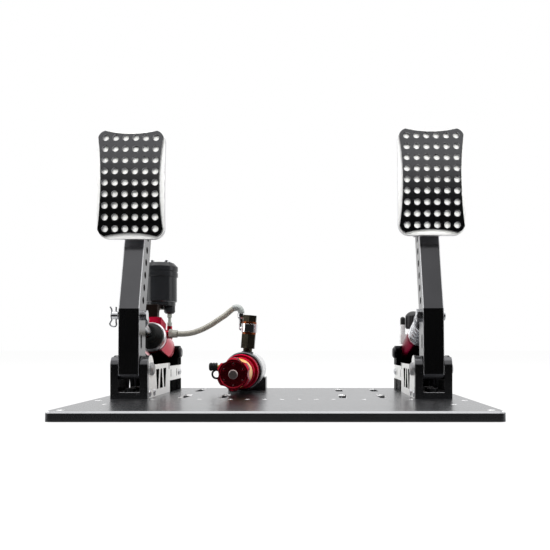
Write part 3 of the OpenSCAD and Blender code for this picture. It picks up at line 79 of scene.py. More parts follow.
# Pedal faces: middles, lean against the arm, radius of the holes, and their pitch and count across and up
BRAKE_FACE, THROTTLE_FACE, FACE_LEAN = (-23.4, 218.5), (-18.37, 222.96), 2.3
GRIP_HOLE_R, GRIP_PITCH, GRIP_COUNT = 3.26, (9.8, 11.2), (6, 9)
# What the faces cover of their backing plates
COVERED_X, COVERED_Z = (120.7, 173.8), (170.5, 272)
# Front edge of the front brackets' floors, where a painted highlight runs
SILL_X, SILL_Z = (137.7, 156.8), (14.45, 15.1)
# Outer faces of the side plates, from the module's middle, and how deep they are bare
SIDE_FACE, SIDE_SKIN = 17.5, 0.06
# Bare front rims of the two barrels, along the rod axis from the clevis pin
BARREL_FRONT, BARREL_RIM = 74, 7
DAMPER_FRONT, DAMPER_RIM = 66, 2.2
# Heights of the reservoir's ring and of the foot of the gas valve's cap
RESERVOIR_RING, VALVE_CAP = 111, 85
# Keeps the limit of a zone off the face that it ends at
HAIR = 0.05
# How far the bevel of the plate and the rim of the backing plates take the look of their zones; on the
# backing plates that look is painted light
BEVEL_SHARE, RIM_SHARE = 0.15, 0.6
# Values that fine noise mostly lies between, size of broad patches, smoothest finish, gloss of a lacquer
NOISE_LOW, NOISE_HIGH, PATCH, SMOOTHEST, COAT_ROUGH = 0.3, 0.7, 25, 0.03, 0.08

# Route of the hose, from the master cylinder's outlet to the banjo's ferrule
HOSE = [
    (-122, 80, 73.4), (-117.5, 80, 73.2), (-112.9, 79.6, 73.4), (-108.4, 79.4, 74),
    (-103.9, 79.2, 74.9), (-99.6, 78.9, 76.3), (-95.4, 78.7, 77.9), (-91.2, 78.4, 79.8),
    (-87.2, 78.1, 81.9), (-83.2, 77.8, 84.1), (-79.4, 77.6, 86.6), (-75.6, 77.3, 89.1),
    (-71.8, 77, 91.6), (-68, 76.6, 94.1), (-64.6, 76.3, 97), (-62.9, 76.2, 98.5),
    (-61.2, 76, 99.9), (-59.3, 75.9, 101.1), (-57.3, 75.7, 102.1), (-55.1, 75.5, 102.5),
    (-52.9, 75.4, 102), (-51.3, 75.2, 100.6), (-50.3, 75, 98.6), (-49.9, 74.9, 96.4),
]


def linear(code):
    """Linear RGB of an sRGB hex value."""
    parts = [int(code[i:i + 2], 16) / 255 for i in (1, 3, 5)]
    return tuple(c / 12.92 if c <= 0.04045 else ((c + 0.055) / 1.055) ** 2.4 for c in parts)


def colour(name, text, code):
    """Colour property with an sRGB hex default."""
    return bpy.props.FloatVectorProperty(
        name=name, description=text, subtype="COLOR", size=3, min=0, max=1, default=linear(code))


def length(name, text, mm):
    """Length property with a default in millimetres."""
    return bpy.props.FloatProperty(
        name=name, description=text, subtype="DISTANCE", unit="LENGTH", min=0, default=mm * MM)


class PedalColours(bpy.types.PropertyGroup):
    plate: colour("Heel plate", "Dark anodised heel plate", "#808184")
    black: colour("Black parts", "Black anodised brake arm, front brackets and faces", "#5A5A5C")
    silver: colour("Bare aluminium", "Pedal mounts and bare cut edges", "#D6D6D8")
    steel: colour("Steel", "Bolts, pins, rods and the spring", "#C9CACD")
    red: colour("Red parts", "Red anodised brake barrel, saddle and collar", "#B01030")
    knob_red: colour("Preload knob", "Darker red anodised knob", "#8A1A28")
    elastomer: colour("Elastomer", "Gold polyurethane spring block", "#E3A552")
    braid: colour("Hose braid", "Stainless braid of the hose", "#A9A69C")
    rubber: colour("Rubber", "Boot and bleed cap", "#0E0F0F")


class PedalSizes(bpy.types.PropertyGroup):
    hose_d: length("Hose diameter", "Outer diameter of the braided hose", 6.2)
    spring_d: length("Spring diameter", "Outer diameter of the coil spring", 26)
    spring_wire: length("Spring wire", "Wire diameter of the coil spring", 2.4)
    spring_turns: bpy.props.IntProperty(
        name="Spring turns", description="Active turns of the coil spring", default=4, min=3, max=7)
    boot_folds: bpy.props.IntProperty(
        name="Boot folds", description="Folds of the rubber boot", default=3, min=2, max=5)
    screw_head_d: length("Screw heads", "Head diameter of the side plate screws", 7)


def add(tree, kind, values=None, links=None, **settings):
    """One node with its settings, its socket values and the sockets that feed it."""
    node = tree.nodes.new(kind)
    for key, value in settings.items():
        setattr(node, key, value)
    for key, value in (values or {}).items():
        node.inputs[key].default_value = value
    for key, socket in (links or {}).items():
        tree.links.new(socket, node.inputs[key])
    return node


def maths(tree, operation, *terms):
    """Result of one operation on numbers and sockets."""
    node = add(tree, "ShaderNodeMath", operation=operation)
    for entry, term in zip(node.inputs, terms):
        if isinstance(term, bpy.types.NodeSocket):
            tree.links.new(term, entry)
        else:
            entry.default_value = term
    return node.outputs[0]


def blank(name):
    """Empty node material."""
    material = bpy.data.materials.new(name)
    material.use_nodes = True
    material.node_tree.nodes.clear()
    return material, material.node_tree


def surface(name, rgb, metallic, rough, grain=(0.4, 0.4, 0.4), spread=0.08, bump=0.02, edge=0.35,
            mottle=0.12, tint=(1, 1, 1), shine=0.5, coat=0.0,
            zone=None, zone_rgb=None, zone_rough=0.3, zone_metal=1.0):
    """Principled surface with a grain in millimetres, softened edges and an optional zone of its own
    colour: bare cut metal on some parts, painted light on others.
    """
    material, tree = blank(name)
    coords = add(tree, "ShaderNodeTexCoord").outputs["Object"]
    scaled = add(tree, "ShaderNodeMapping", {"Scale": [1 / (g * MM) for g in grain]}, {"Vector": coords})
    fine = add(tree, "ShaderNodeTexNoise", {"Scale": 1.0, "Detail": 3.0}, {"Vector": scaled.outputs[0]})
    # Broad patches, as handling and finishing leave them
    broad = add(tree, "ShaderNodeTexNoise", {"Scale": 1 / (PATCH * MM), "Detail": 2.0}, {"Vector": coords})
    dark, light = ([c * (1 + k * mottle) for c in rgb] for k in (-1, 1))
    base = add(tree, "ShaderNodeMixRGB", {"Color1": (*dark, 1), "Color2": (*light, 1)},
               {"Fac": broad.outputs["Fac"]}).outputs[0]
    low, high = max(rough - spread, SMOOTHEST), rough + spread
    roughness = add(tree, "ShaderNodeMapRange",
                    {"From Min": NOISE_LOW, "From Max": NOISE_HIGH, "To Min": low, "To Max": high},
                    {"Value": fine.outputs["Fac"]}).outputs[0]
    if zone is not None:
        # The zone marks bare cut metal on some parts and painted light on others
        bare = zone(tree, coords)
        base = add(tree, "ShaderNodeMixRGB", {"Color2": (*zone_rgb, 1)},
                   {"Fac": bare, "Color1": base}).outputs[0]
        roughness = add(tree, "ShaderNodeMapRange", {"To Max": zone_rough},
                        {"Value": bare, "To Min": roughness}).outputs[0]
    soft = add(tree, "ShaderNodeBevel", {"Radius": edge * MM}, samples=4)
    relief = add(tree, "ShaderNodeBump", {"Strength": 0.5, "Distance": bump * MM},
                 {"Height": fine.outputs["Fac"], "Normal": soft.outputs[0]})
    shader = add(tree, "ShaderNodeBsdfPrincipled",
                 {"Metallic": metallic, "Specular Tint": (*tint, 1), "Specular IOR Level": shine,
                  "Coat Weight": coat, "Coat Roughness": COAT_ROUGH},
                 {"Base Color": base, "Roughness": roughness, "Normal": relief.outputs[0]})
    if zone is not None and zone_metal != metallic:
        share = add(tree, "ShaderNodeMapRange", {"To Min": metallic, "To Max": zone_metal}, {"Value": bare})
        tree.links.new(share.outputs[0], shader.inputs["Metallic"])
    add(tree, "ShaderNodeOutputMaterial", links={"Surface": shader.outputs[0]})
    return material


def along(tree, coords, point, direction):
    """Distance in millimetres from a point, along a direction."""
    place = add(tree, "ShaderNodeVectorMath", {1: [c * MM for c in point]}, {0: coords},
                operation="SUBTRACT")
    dot = add(tree, "ShaderNodeVectorMath", {1: [c / MM for c in direction]}, {0: place.outputs[0]},
              operation="DOT_PRODUCT")
    return dot.outputs["Value"]


def height(tree, coords):
    """Height in millimetres."""
    return along(tree, coords, (0, 0, 0), (0, 0, 1))


def aside(tree, coords, x):
    """Distance in millimetres to either side of x."""
    return maths(tree, "ABSOLUTE", along(tree, coords, (x, 0, 0), (1, 0, 0)))


def between(tree, value, low, high):
    """1 where a value lies between two limits."""
    over = maths(tree, "GREATER_THAN", value, low)
    under = maths(tree, "LESS_THAN", value, high)
    return maths(tree, "MULTIPLY", over, under)


def least(tree, a, b):
    """Smaller of two values."""
    return maths(tree, "MINIMUM", a, b)


def most(tree, a, b):
    """Larger of two values."""
    return maths(tree, "MAXIMUM", a, b)


def band(point, direction, low, high):
    """Zone between two distances along a direction."""
    return lambda tree, coords: between(tree, along(tree, coords, point, direction), low, high)


def frontal(tree):
    """1 on what faces the driver, within 60 degrees."""
    normal = add(tree, "ShaderNodeNewGeometry").outputs["Normal"]
    turn = add(tree, "ShaderNodeVectorMath", {1: (0, -1, 0)}, {0: normal}, operation="DOT_PRODUCT")
    return between(tree, turn.outputs["Value"], 0.5, 2)


def arm_edges(x, kink, lean):
    """Strip along both front edges of a cranked arm, where the black was cut through."""
    def zone(tree, coords):
        depths = []
        for part in ARM_LEANS:
            a = math.radians(lean + part)
            depths.append(along(tree, coords, (x, *kink), (0, math.cos(a), -math.sin(a))))
        strip = between(tree, least(tree, *depths), -1, EDGE_STRIP)
        flank = between(tree, aside(tree, coords, x), ARM_HALF - EDGE_STRIP, ARM_HALF + 1)
        return least(tree, strip, flank)
    return zone


def plate_cuts_and_highlights(tree, coords):
    """The plate's bevel cut bare, the walls of its round holes cut bare and painted near white as painted
    light in their shade, and a painted highlight on the upper rims of its slots' far walls.
    """
    x, y = (along(tree, coords, (0, 0, 0), axis) for axis in ((1, 0, 0), (0, 1, 0)))
    z = height(tree, coords)
    top = PLATE_TOP - HAIR
    bevel = between(tree, z, PLATE_TOP - PLATE_BEVEL + HAIR, top)
    # Hole walls cut bare and painted near white, as painted light in their shade
    inner = least(tree, between(tree, x, -PLATE_INNER_X, PLATE_INNER_X), between(tree, y, *HOLES_Y))
    walls = least(tree, between(tree, z, HAIR, top), inner)
    # Painted highlight: the upper rims of the slots' far walls, only where they face the driver and light
    # falls on them
    rims = least(tree, between(tree, z, PLATE_TOP - SLOT_HIGHLIGHT, top), between(tree, y, *SLOTS_Y))
    cuts = most(tree, walls, least(tree, rims, frontal(tree)))
    return most(tree, maths(tree, "MULTIPLY", bevel, BEVEL_SHARE), cuts)


def painted_lit_front(tree, coords):
    """What faces the driver's foot, painted near white as painted light: fully where the face covers it and
    its holes lie in shade, less on the rim.
    """
    covered = least(tree, between(tree, aside(tree, coords, 0), *COVERED_X),
                    between(tree, height(tree, coords), *COVERED_Z))
    share = maths(tree, "MULTIPLY_ADD", covered, 1 - RIM_SHARE, RIM_SHARE)
    return maths(tree, "MULTIPLY", frontal(tree), share)


def sill_highlights(tree, coords):
    """Painted highlight along the front edge of both front brackets' floors, where the black is also cut
    through.
    """
    strip = least(tree, between(tree, aside(tree, coords, 0), *SILL_X),
                  between(tree, height(tree, coords), *SILL_Z))
    return least(tree, strip, frontal(tree))


def outer_faces(x):
    """Outer faces of a module's two side plates, left bare; the rest keeps the black base, as painted shade
    inside the module.
    """
    return lambda tree, coords: between(tree, aside(tree, coords, x), SIDE_FACE - SIDE_SKIN, SIDE_FACE + 1)


def grip_holes(x, middle, lean):
    """Walls of the drilled holes in a pedal face."""
    def zone(tree, coords):
        a = math.radians(lean)
        across, up = (1, 0, 0), (0, math.sin(a), math.cos(a))
        offsets, inside = [], []
        for direction, pitch, count in zip((across, up), GRIP_PITCH, GRIP_COUNT):
            run = along(tree, coords, (x, *middle), direction)
            inside.append(between(tree, run, -count * pitch / 2, count * pitch / 2))
            part = maths(tree, "FRACT", maths(tree, "MULTIPLY_ADD", run, 1 / pitch, count / 2))
            offsets.append(maths(tree, "MULTIPLY_ADD", part, pitch, -pitch / 2))
        place = add(tree, "ShaderNodeCombineXYZ", links={"X": offsets[0], "Y": offsets[1]})
        far = add(tree, "ShaderNodeVectorMath", links={0: place.outputs[0]}, operation="LENGTH")
        hole = between(tree, far.outputs["Value"], -1, GRIP_HOLE_R)
        return least(tree, hole, least(tree, *inside))
    return zone


def coloured():
    """The finishes of all solids, by name."""
    c = bpy.context.scene.pedal_colours
    silver = tuple(c.silver)
    deep = linear("#242426")
    black = {"metallic": 1.0, "rough": 0.2, "spread": 0.04}
    # Bare hole walls, their grey painted darker as painted shade
    drilled = {**black, "zone_rgb": linear("#88888C")}
    side = {"metallic": 1.0, "rough": 0.3, "grain": (0.3, 6, 0.3),
            "zone_rgb": linear("#F0F0EE"), "zone_rough": 0.42, "zone_metal": 0.3}
    lacquer = {"metallic": 1.0, "rough": 0.14, "tint": (0.9, 0.5, 0.55), "coat": 0.45}
    dyed = {"metallic": 1.0, "rough": 0.24, "tint": (0.6, 0.42, 0.45)}
    return {
        # Bead-blasted, dark anodised plate, its bevel and holes cut bare; the hole walls painted near white
        # as painted light, and a painted highlight on the slots' far rims
        "anodised plate": surface(
            "Anodised aluminium, dark grey", c.plate, 1.0, 0.27,
            zone=plate_cuts_and_highlights, zone_rgb=linear("#F4F4F4"), zone_metal=0.0),
        # Milled and black anodised: a satin sheen over black
        "black": surface("Anodised aluminium, black", c.black, **black),
        # Front brackets, the edge of their floors cut bare and painted lighter as a highlight
        "black brackets": surface(
            "Anodised aluminium, black, front brackets", c.black, **black,
            zone=sill_highlights, zone_rgb=linear("#7C7C7E"), zone_metal=0.2),
        # Rear brackets, darker, with dimmer reflections than the other black parts
        "deep black": surface("Anodised aluminium, deep black", deep, 1.0, 0.22, tint=(0.15, 0.15, 0.15)),
        # Arms with bright cut edges
        "black brake arm": surface(
            "Anodised aluminium, black, brake arm", c.black, **black,
            zone=arm_edges(BRAKE_X, BRAKE_KINK, BRAKE_LEAN), zone_rgb=silver),
        # The throttle arm is painted a darker black than the brake arm, as painted shade
        "shaded black throttle arm": surface(
            "Anodised aluminium, black, throttle arm", linear("#4C4C4E"), **black,
            zone=arm_edges(THROTTLE_X, THROTTLE_KINK, THROTTLE_LEAN), zone_rgb=silver),
        # Faces drilled after anodising, so the hole walls are bare; their grey is painted darker, as
        # painted shade in the holes
        "black brake face": surface(
            "Anodised aluminium, black, brake face", c.black, **drilled,
            zone=grip_holes(BRAKE_X, BRAKE_FACE, BRAKE_LEAN + FACE_LEAN)),
        "black throttle face": surface(
            "Anodised aluminium, black, throttle face", c.black, **drilled,
            zone=grip_holes(THROTTLE_X, THROTTLE_FACE, THROTTLE_LEAN + FACE_LEAN)),
        # Side plates with their outer faces milled bare and a fine lengthwise grain; their inner faces and
        # cut-out walls are painted black, as painted shade inside the module
        "brake sides": surface(
            "Milled aluminium, brake side plates", deep, **side, zone=outer_faces(BRAKE_X)),
        "throttle sides": surface(
            "Milled aluminium, throttle side plates", deep, **side, zone=outer_faces(THROTTLE_X)),
        # Milled blocks, left bare
        "silver": surface("Milled aluminium, bare", c.silver, 1.0, 0.32, grain=(0.3, 6, 0.3), edge=0.3),
        # Backing plates: blasted and clear anodised, their fronts painted near white as painted light,
        # palest behind the face where its holes lie in shade
        "satin": surface(
            "Blasted aluminium, clear anodised", linear("#D2D2D4"), 0.8, 0.38, mottle=0.04,
            zone=painted_lit_front, zone_rgb=linear("#F4F4F0"), zone_rough=0.4, zone_metal=0.0),
        # Turned cylinder with a soft sheen
        "turned": surface("Turned aluminium, clear anodised", linear("#DEDEDF"), 0.7, 0.36, mottle=0.04),
        # Steel: turned or drawn bright, ground, and blasted
        "steel": surface("Bright steel", c.steel, 1.0, 0.22, grain=(0.6, 0.6, 0.6)),
        # Guide rod steel, tinted pink as a painted reflection of the red knob around its end
        "dull steel": surface("Ground steel", linear("#9A8E8C"), 1.0, 0.34),
        "satin steel": surface("Blasted steel", linear("#98989A"), 0.8, 0.4),
        # Black oxide on socket-head bolts and rear pins
        "black steel": surface("Black oxide steel", linear("#3A3A3C"), 1.0, 0.3),
        # Gas valve with a black cap
        "valve": surface(
            "Zinc plated steel, capped valve", linear("#E0E0E0"), 0.5, 0.3,
            zone=band((0, 0, 0), (0, 0, 1), VALVE_CAP, 2 * VALVE_CAP),
            zone_rgb=linear("#1A1B1B"), zone_metal=0.0),
        # Chrome plate on the banjo, duller nickel at the hose's start
        "chrome": surface("Chrome plate", linear("#DCDCDE"), 1.0, 0.1, spread=0.03, mottle=0.04),
        "nickel": surface("Nickel plate, satin", linear("#A4A29A"), 0.5, 0.4),
        # Turned barrels, dyed red, with the front rim cut bare
        "red brake": surface(
            "Anodised aluminium, red, brake barrel", c.red, **lacquer,
            zone=band(BRAKE_PIN, BRAKE_DIR, BARREL_FRONT - 1, BARREL_FRONT + BARREL_RIM), zone_rgb=silver),
        # The damper barrel's red is painted darker than the brake barrel's, as painted shade
        "shaded red throttle": surface(
            "Anodised aluminium, red, damper barrel", linear("#7A182F"), **dyed,
            zone=band(THROTTLE_PIN, THROTTLE_DIR, DAMPER_FRONT - 1, DAMPER_FRONT + DAMPER_RIM),
            zone_rgb=silver),
        # Saddle, collar and preload knob, dyed all over
        "red": surface("Anodised aluminium, red", c.red, **dyed),
        "knob red": surface("Anodised aluminium, deep red", c.knob_red, **dyed, edge=0.6),
        # Pivot bushes and bleed nipple, sealing washers
        "bronze": surface("Bronze", linear("#A98450"), 1.0, 0.3),
        "copper": surface("Copper washer", linear("#8A4A2A"), 1.0, 0.32),
        # Blackened steel of the sensor and the banjo's bolt
        "sensor": surface("Black zinc plated steel", linear("#4A453A"), 1.0, 0.3),
        # Moulded nylon knob
        "nylon": surface("Black nylon", linear("#141416"), 0.0, 0.38),
        # Reservoir in black enamel, with a bare ring cut near its foot
        "can": surface(
            "Black enamel", linear("#222325"), 0.0, 0.16, shine=0.22,
            zone=band((0, 0, RESERVOIR_RING), (0, 0, 1), -0.2, 0.6), zone_rgb=linear("#707072")),
        "bracket brown": surface("Phosphated steel", linear("#3B302B"), 1.0, 0.4),
        # Feed tube
        "tube": surface("Nylon tube, grey", linear("#8D938C"), 0.0, 0.35),
    }


# The solids that take each finish; those that a drawn piece replaces aren't listed
FINISHES = {
    "anodised plate": ["base_plate"],
    "black": ["slave_cradle", "slave_head"],
    "black brackets": ["brake_front_bracket", "throttle_front_bracket"],
    "deep black": ["brake_rear_bracket", "throttle_rear_bracket"],
    "black brake arm": ["brake_arm"],
    "shaded black throttle arm": ["throttle_arm"],
    "black brake face": ["brake_face_plate"],
    "black throttle face": ["throttle_face_plate"],
    "brake sides": ["brake_side_plates"],
    "throttle sides": ["throttle_side_plates"],
    "silver": ["brake_pedal_mount", "throttle_pedal_mount"],
    "satin": ["brake_backing_plate", "throttle_backing_plate"],
    "turned": ["slave_cylinder"],
    "steel": ["brake_mount_bolts", "throttle_mount_bolts", "brake_clevis_pin", "throttle_clevis_pin",
              "brake_rod_end", "brake_pushrod", "throttle_rod_end", "throttle_rod", "lid_screws",
              "slave_piston"],
    "dull steel": ["guide_rod"],
    "satin steel": ["pivot_pins"],
    "black steel": ["rear_pins", "bracket_bolts"],
    "valve": ["damper_valve"],
    "chrome": ["banjo_fitting"],
    "nickel": ["outlet_fitting"],
    "red brake": ["master_barrel"],
    "shaded red throttle": ["damper_barrel"],
    "red": ["reservoir_saddle", "slave_collar"],
    "knob red": ["preload_knob"],
    "bronze": ["brake_pivot_bush", "throttle_pivot_bush", "bleed_nipple"],
    "copper": ["copper_washers"],
    "sensor": ["pressure_sensor", "banjo_bolt"],
    "nylon": ["damper_knob"],
    "can": ["reservoir_body", "reservoir_lid"],
    "bracket brown": ["reservoir_bracket"],
    "tube": ["feed_tube"],
}


def only(obj):
    """Makes one object the selected and active one."""
    bpy.ops.object.select_all(action="DESELECT")
    obj.select_set(True)
    bpy.context.view_layer.objects.active = obj


def settle(obj, matrix=None):
    """Puts a piece in place and moves that place into its mesh."""
    only(obj)
    if matrix is not None:
        obj.matrix_world = matrix @ obj.matrix_world
    bpy.ops.object.transform_apply(location=True, rotation=True, scale=True)
    return obj


def axis_frame(point, direction):
    """Frame whose Z runs along a direction from a point in millimetres."""
    z = Vector(direction).normalized()
    x = Vector((1, 0, 0)) if abs(z.x) < 0.9 else Vector((0, 1, 0))
    y = z.cross(x).normalized()
    turn = Matrix((y.cross(z), y, z)).transposed().to_4x4()
    return Matrix.Translation(Vector(point) * MM) @ turn


def turned(name, profile, sides):
    """Ring raised and resized step by step along a profile of radii and heights in millimetres."""
    bpy.ops.object.select_all(action="DESELECT")
    radius, start = profile[0]
    bpy.ops.mesh.primitive_circle_add(vertices=sides, radius=radius * MM, location=(0, 0, start * MM))
    obj = bpy.context.object
    obj.name = name
    settle(obj)
    bpy.ops.object.mode_set(mode="EDIT")
    bpy.ops.mesh.select_all(action="SELECT")
    for (r0, z0), (r1, z1) in zip(profile, profile[1:]):
        bpy.ops.mesh.extrude_edges_move(TRANSFORM_OT_translate={"value": (0, 0, (z1 - z0) * MM)})
        if r1 != r0:
            bpy.ops.transform.resize(value=(r1 / r0, r1 / r0, 1), center_override=(0, 0, z1 * MM))
    bpy.ops.mesh.select_all(action="SELECT")
    bpy.ops.mesh.remove_doubles(threshold=0.001 * MM)
    if profile[0] != profile[-1]:
        bpy.ops.mesh.fill_holes(sides=0)
    bpy.ops.mesh.normals_make_consistent(inside=False)
    bpy.ops.object.mode_set(mode="OBJECT")
    bpy.ops.object.shade_smooth_by_angle(angle=math.radians(35))
    return obj


def tube(name, points, radius, sides, side=(0, 0, 1)):
    """Closed tube along points in metres, with UVs in metres round and along it."""
    mesh = bpy.data.meshes.new(name)
    form = bmesh.new()
    layer = form.loops.layers.uv.new("Along")
    side = Vector(side)
    turns = [2 * math.pi * k / sides for k in range(sides)]
    rings, run, runs = [], 0.0, []
    for i, point in enumerate(points):
        ahead = (points[min(i + 1, len(points) - 1)] - points[max(i - 1, 0)]).normalized()
        side = (side - ahead * side.dot(ahead)).normalized()
        other = ahead.cross(side)
        run += (point - points[i - 1]).length if i else 0.0
        runs.append(run)
        rings.append([form.verts.new(point + radius * (math.cos(a) * side + math.sin(a) * other))
                      for a in turns])
    around = 2 * math.pi * radius
    for i in range(len(rings) - 1):
        for k in range(sides):
            j = (k + 1) % sides
            face = form.faces.new((rings[i][k], rings[i][j], rings[i + 1][j], rings[i + 1][k]))
            face.smooth = True
            spots = ((k, i), (k + 1, i), (k + 1, i + 1), (k, i + 1))
            for loop, (u, v) in zip(face.loops, spots):
                loop[layer].uv = (u / sides * around, runs[v])
    form.faces.new(reversed(rings[0]))
    form.faces.new(rings[-1])
    bmesh.ops.recalc_face_normals(form, faces=form.faces)
    form.to_mesh(mesh)
    form.free()
    obj = bpy.data.objects.new(name, mesh)
    bpy.context.scene.collection.objects.link(obj)
    return obj


def smooth_route(points, steps):
    """Points on a smooth curve through the given ones, in metres."""
    pts = [Vector(p) * MM for p in points]
    out = []
    for i in range(len(pts) - 1):
        a, b, c, d = pts[max(i - 1, 0)], pts[i], pts[i + 1], pts[min(i + 2, len(pts) - 1)]
        for k in range(steps):
            t = k / steps
            out.append(0.5 * (2 * b + (c - a) * t + (2 * a - 5 * b + 4 * c - d) * t * t
                              + (3 * b - a - 3 * c + d) * t ** 3))
    return out + [pts[-1]]


def dress(obj, material):
    """Gives a piece one material."""
    obj.data.materials.clear()
    obj.data.materials.append(material)
    return obj


def braided():
    """Stainless braid: two sets of crossing strands, with painted shade in the gaps between them."""
    material, tree = blank("Stainless steel braid")
    spot = add(tree, "ShaderNodeUVMap", uv_map="Along").outputs[0]
    # Real strands are about 0.8 mm; 1.8 mm is the finest that shows here
    strand, slant, gap_shade = 1.8 * MM, math.radians(45), 0.7
    waves = []
    for turn in (slant, -slant):
        slanted = add(tree, "ShaderNodeMapping", {"Rotation": (0, 0, turn)}, {"Vector": spot})
        wave = add(tree, "ShaderNodeTexWave", {"Scale": 1 / (strand * math.pi), "Distortion": 0.0},
                   {"Vector": slanted.outputs[0]}, wave_type="BANDS", bands_direction="X")
        waves.append(wave.outputs["Fac"])
    weave = most(tree, *waves)
    light = bpy.context.scene.pedal_colours.braid
    # Painted shade: the gaps take a darker copy of the strands' colour
    dark = [c * gap_shade for c in light]
    tone = add(tree, "ShaderNodeMixRGB", {"Color1": (*dark, 1), "Color2": (*light, 1)}, {"Fac": weave})
    relief = add(tree, "ShaderNodeBump", {"Strength": 0.25, "Distance": 0.2 * MM}, {"Height": weave})
    shader = add(tree, "ShaderNodeBsdfPrincipled", {"Metallic": 0.7, "Roughness": 0.45},
                 {"Base Color": tone.outputs[0], "Normal": relief.outputs[0]})
    add(tree, "ShaderNodeOutputMaterial", links={"Surface": shader.outputs[0]})
    return material


class PEDALS_OT_finishes(bpy.types.Operator):
    """Gives every solid the finish of its real piece"""
    bl_idname = "pedals.finishes"
    bl_label = "Finishes"

    def execute(self, context):
        made = coloured()
        for name, nodes in FINISHES.items():
            for node in nodes:
                dress(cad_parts[node], made[name])
        return {"FINISHED"}


class PEDALS_OT_hose(bpy.types.Operator):
    """Braided hose from the master cylinder to the slave unit"""
    bl_idname = "pedals.hose"
    bl_label = "Braided hose"

    # Length and wall of the crimped sleeve over the hose's last stretch
    SLEEVE, WALL = 10, 0.5

    def execute(self, context):
        diameter = context.scene.pedal_sizes.hose_d
        route = smooth_route(HOSE, 4)
        hose = dress(tube("braided_hose", route, diameter / 2, 24), braided())
        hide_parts("brake_hose")
        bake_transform(hose)
        stretch = [p for p in route if (p - route[-1]).length < self.SLEEVE * MM]
        nickel = surface("Nickel plate, crimped sleeve", linear("#9A9E9C"), 0.6, 0.3)
        sleeve = dress(tube("hose_sleeve", stretch, diameter / 2 + self.WALL * MM, 28), nickel)
        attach(sleeve, "base")
        return {"FINISHED"}


class PEDALS_OT_spring(bpy.types.Operator):
    """Coil spring of the throttle, with closed ends"""
    bl_idname = "pedals.spring"
    bl_label = "Coil spring"

    # Stretch of the rod axis that it fills, closed turns at each end and their pitch in wires
    START, END, CLOSED, SNUG = 20.3, 65.7, 0.75, 1.02
    # Points to a turn, and how far the rod squeezes it
    STEPS, TRAVEL = 40, 13

    def execute(self, context):
        sizes = context.scene.pedal_sizes
        wire = sizes.spring_wire / MM
        radius = (sizes.spring_d / MM - wire) / 2
        low, high = self.START + wire / 2, self.END - wire / 2
        closed_rise = self.CLOSED * wire * self.SNUG
        pitch = (high - low - 2 * closed_rise) / sizes.spring_turns
        place = axis_frame(THROTTLE_PIN, THROTTLE_DIR)
        points = []
        turns = sizes.spring_turns + 2 * self.CLOSED
        count = round(turns * self.STEPS)
        for i in range(count + 1):
            t = turns * i / count
            mid = min(max(t - self.CLOSED, 0), sizes.spring_turns)
            rise = low + (t - mid) * wire * self.SNUG + mid * pitch
            a = 2 * math.pi * t
            points.append(place @ (Vector((radius * math.cos(a), radius * math.sin(a), rise)) * MM))
        steel = surface("Spring steel, bright", context.scene.pedal_colours.steel, 1.0, 0.2)
        spring = dress(tube("coil_spring", points, sizes.spring_wire / 2, 14), steel)
        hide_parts("throttle_spring")
        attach(spring, "throttle_damper")
        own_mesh(spring)
        return {"FINISHED"}


class PEDALS_OT_pin_clip(bpy.types.Operator):
    """Spring wire clip through the free end of the brake's clevis pin"""
    bl_idname = "pedals.pin_clip"
    bl_label = "Wire clip"

    # Thickness of the wire, and the hole that it goes through
    WIRE, HOLE = 1.6, (BRAKE_X - 17, *BRAKE_PIN[1:])
    # Across and up from the hole: straight leg, loop, and the leg that hugs the pin's end
    ROUTE = ((0, 8.5), (0, 4), (0, 0), (0, -4), (0, -7), (0.3, -8.8), (-0.4, -10.4),
             (-2.2, -11.1), (-4.2, -10.7), (-5.8, -9.5), (-6.2, -7.8), (-5.4, -6.2), (-4.5, -4.7),
             (-4.5, -3), (-4.9, 0), (-4.5, 3), (-4.3, 4.8), (-4.7, 6.6), (-6, 8.6))

    def execute(self, context):
        x, y, z = self.HOLE
        route = smooth_route([(x + across, y, z + up) for across, up in self.ROUTE], 6)
        wire = surface("Spring steel wire", context.scene.pedal_colours.steel, 1.0, 0.25)
        clip = dress(tube("wire_clip", route, self.WIRE / 2 * MM, 16, side=(0, 1, 0)), wire)
        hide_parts("brake_pin_clip")
        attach(clip, "brake_pedal")
        return {"FINISHED"}


def rubbery():
    """Moulded rubber: matte, faintly mottled, with a fine skin."""
    return surface("Moulded rubber, black", bpy.context.scene.pedal_colours.rubber, 0.0, 0.36,
                   grain=(0.5, 0.5, 0.5), bump=0.05, mottle=0.2, shine=0.2)


class PEDALS_OT_boot(bpy.types.Operator):
    """Folded rubber boot on the master cylinder's rod"""
    bl_idname = "pedals.boot"
    bl_label = "Rubber boot"

    # Its ends on the rod axis, and its radii
    FRONT, BACK, BORE, LIP, RIM = 60, 74, 5.4, 9.2, 14.2
    # Length of the plain foot, start of the folds behind the lip, their depth, and points to a fold
    FOOT, LEAD, FOLD, STEPS = 4, 0.6, 1.5, 10

    def execute(self, context):
        folds = context.scene.pedal_sizes.boot_folds
        steps = self.STEPS * folds
        profile = [(self.BORE, self.BACK), (self.BORE, self.FRONT), (self.LIP - 1.4, self.FRONT),
                   (self.LIP - 0.6, self.FRONT + 0.3)]
        span = self.BACK - self.FOOT - self.FRONT - self.LEAD
        for i in range(steps + 1):
            t = i / steps
            crest = self.LIP + (self.RIM - 0.8 - self.LIP) * t
            depth = self.FOLD * (1 - math.cos(2 * math.pi * folds * t)) / 2
            profile.append((crest - depth, self.FRONT + self.LEAD + span * t))
        profile += [(self.RIM - 0.3, self.BACK - self.FOOT + 0.3),
                    (self.RIM, self.BACK - self.FOOT + 0.9),
                    (self.RIM, self.BACK), (self.BORE, self.BACK)]
        boot = turned("rubber_boot", profile, 56)
        settle(boot, axis_frame(BRAKE_PIN, BRAKE_DIR))
        dress(boot, rubbery())
        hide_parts("rod_boot")
        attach(boot, "master_cylinder")
        return {"FINISHED"}


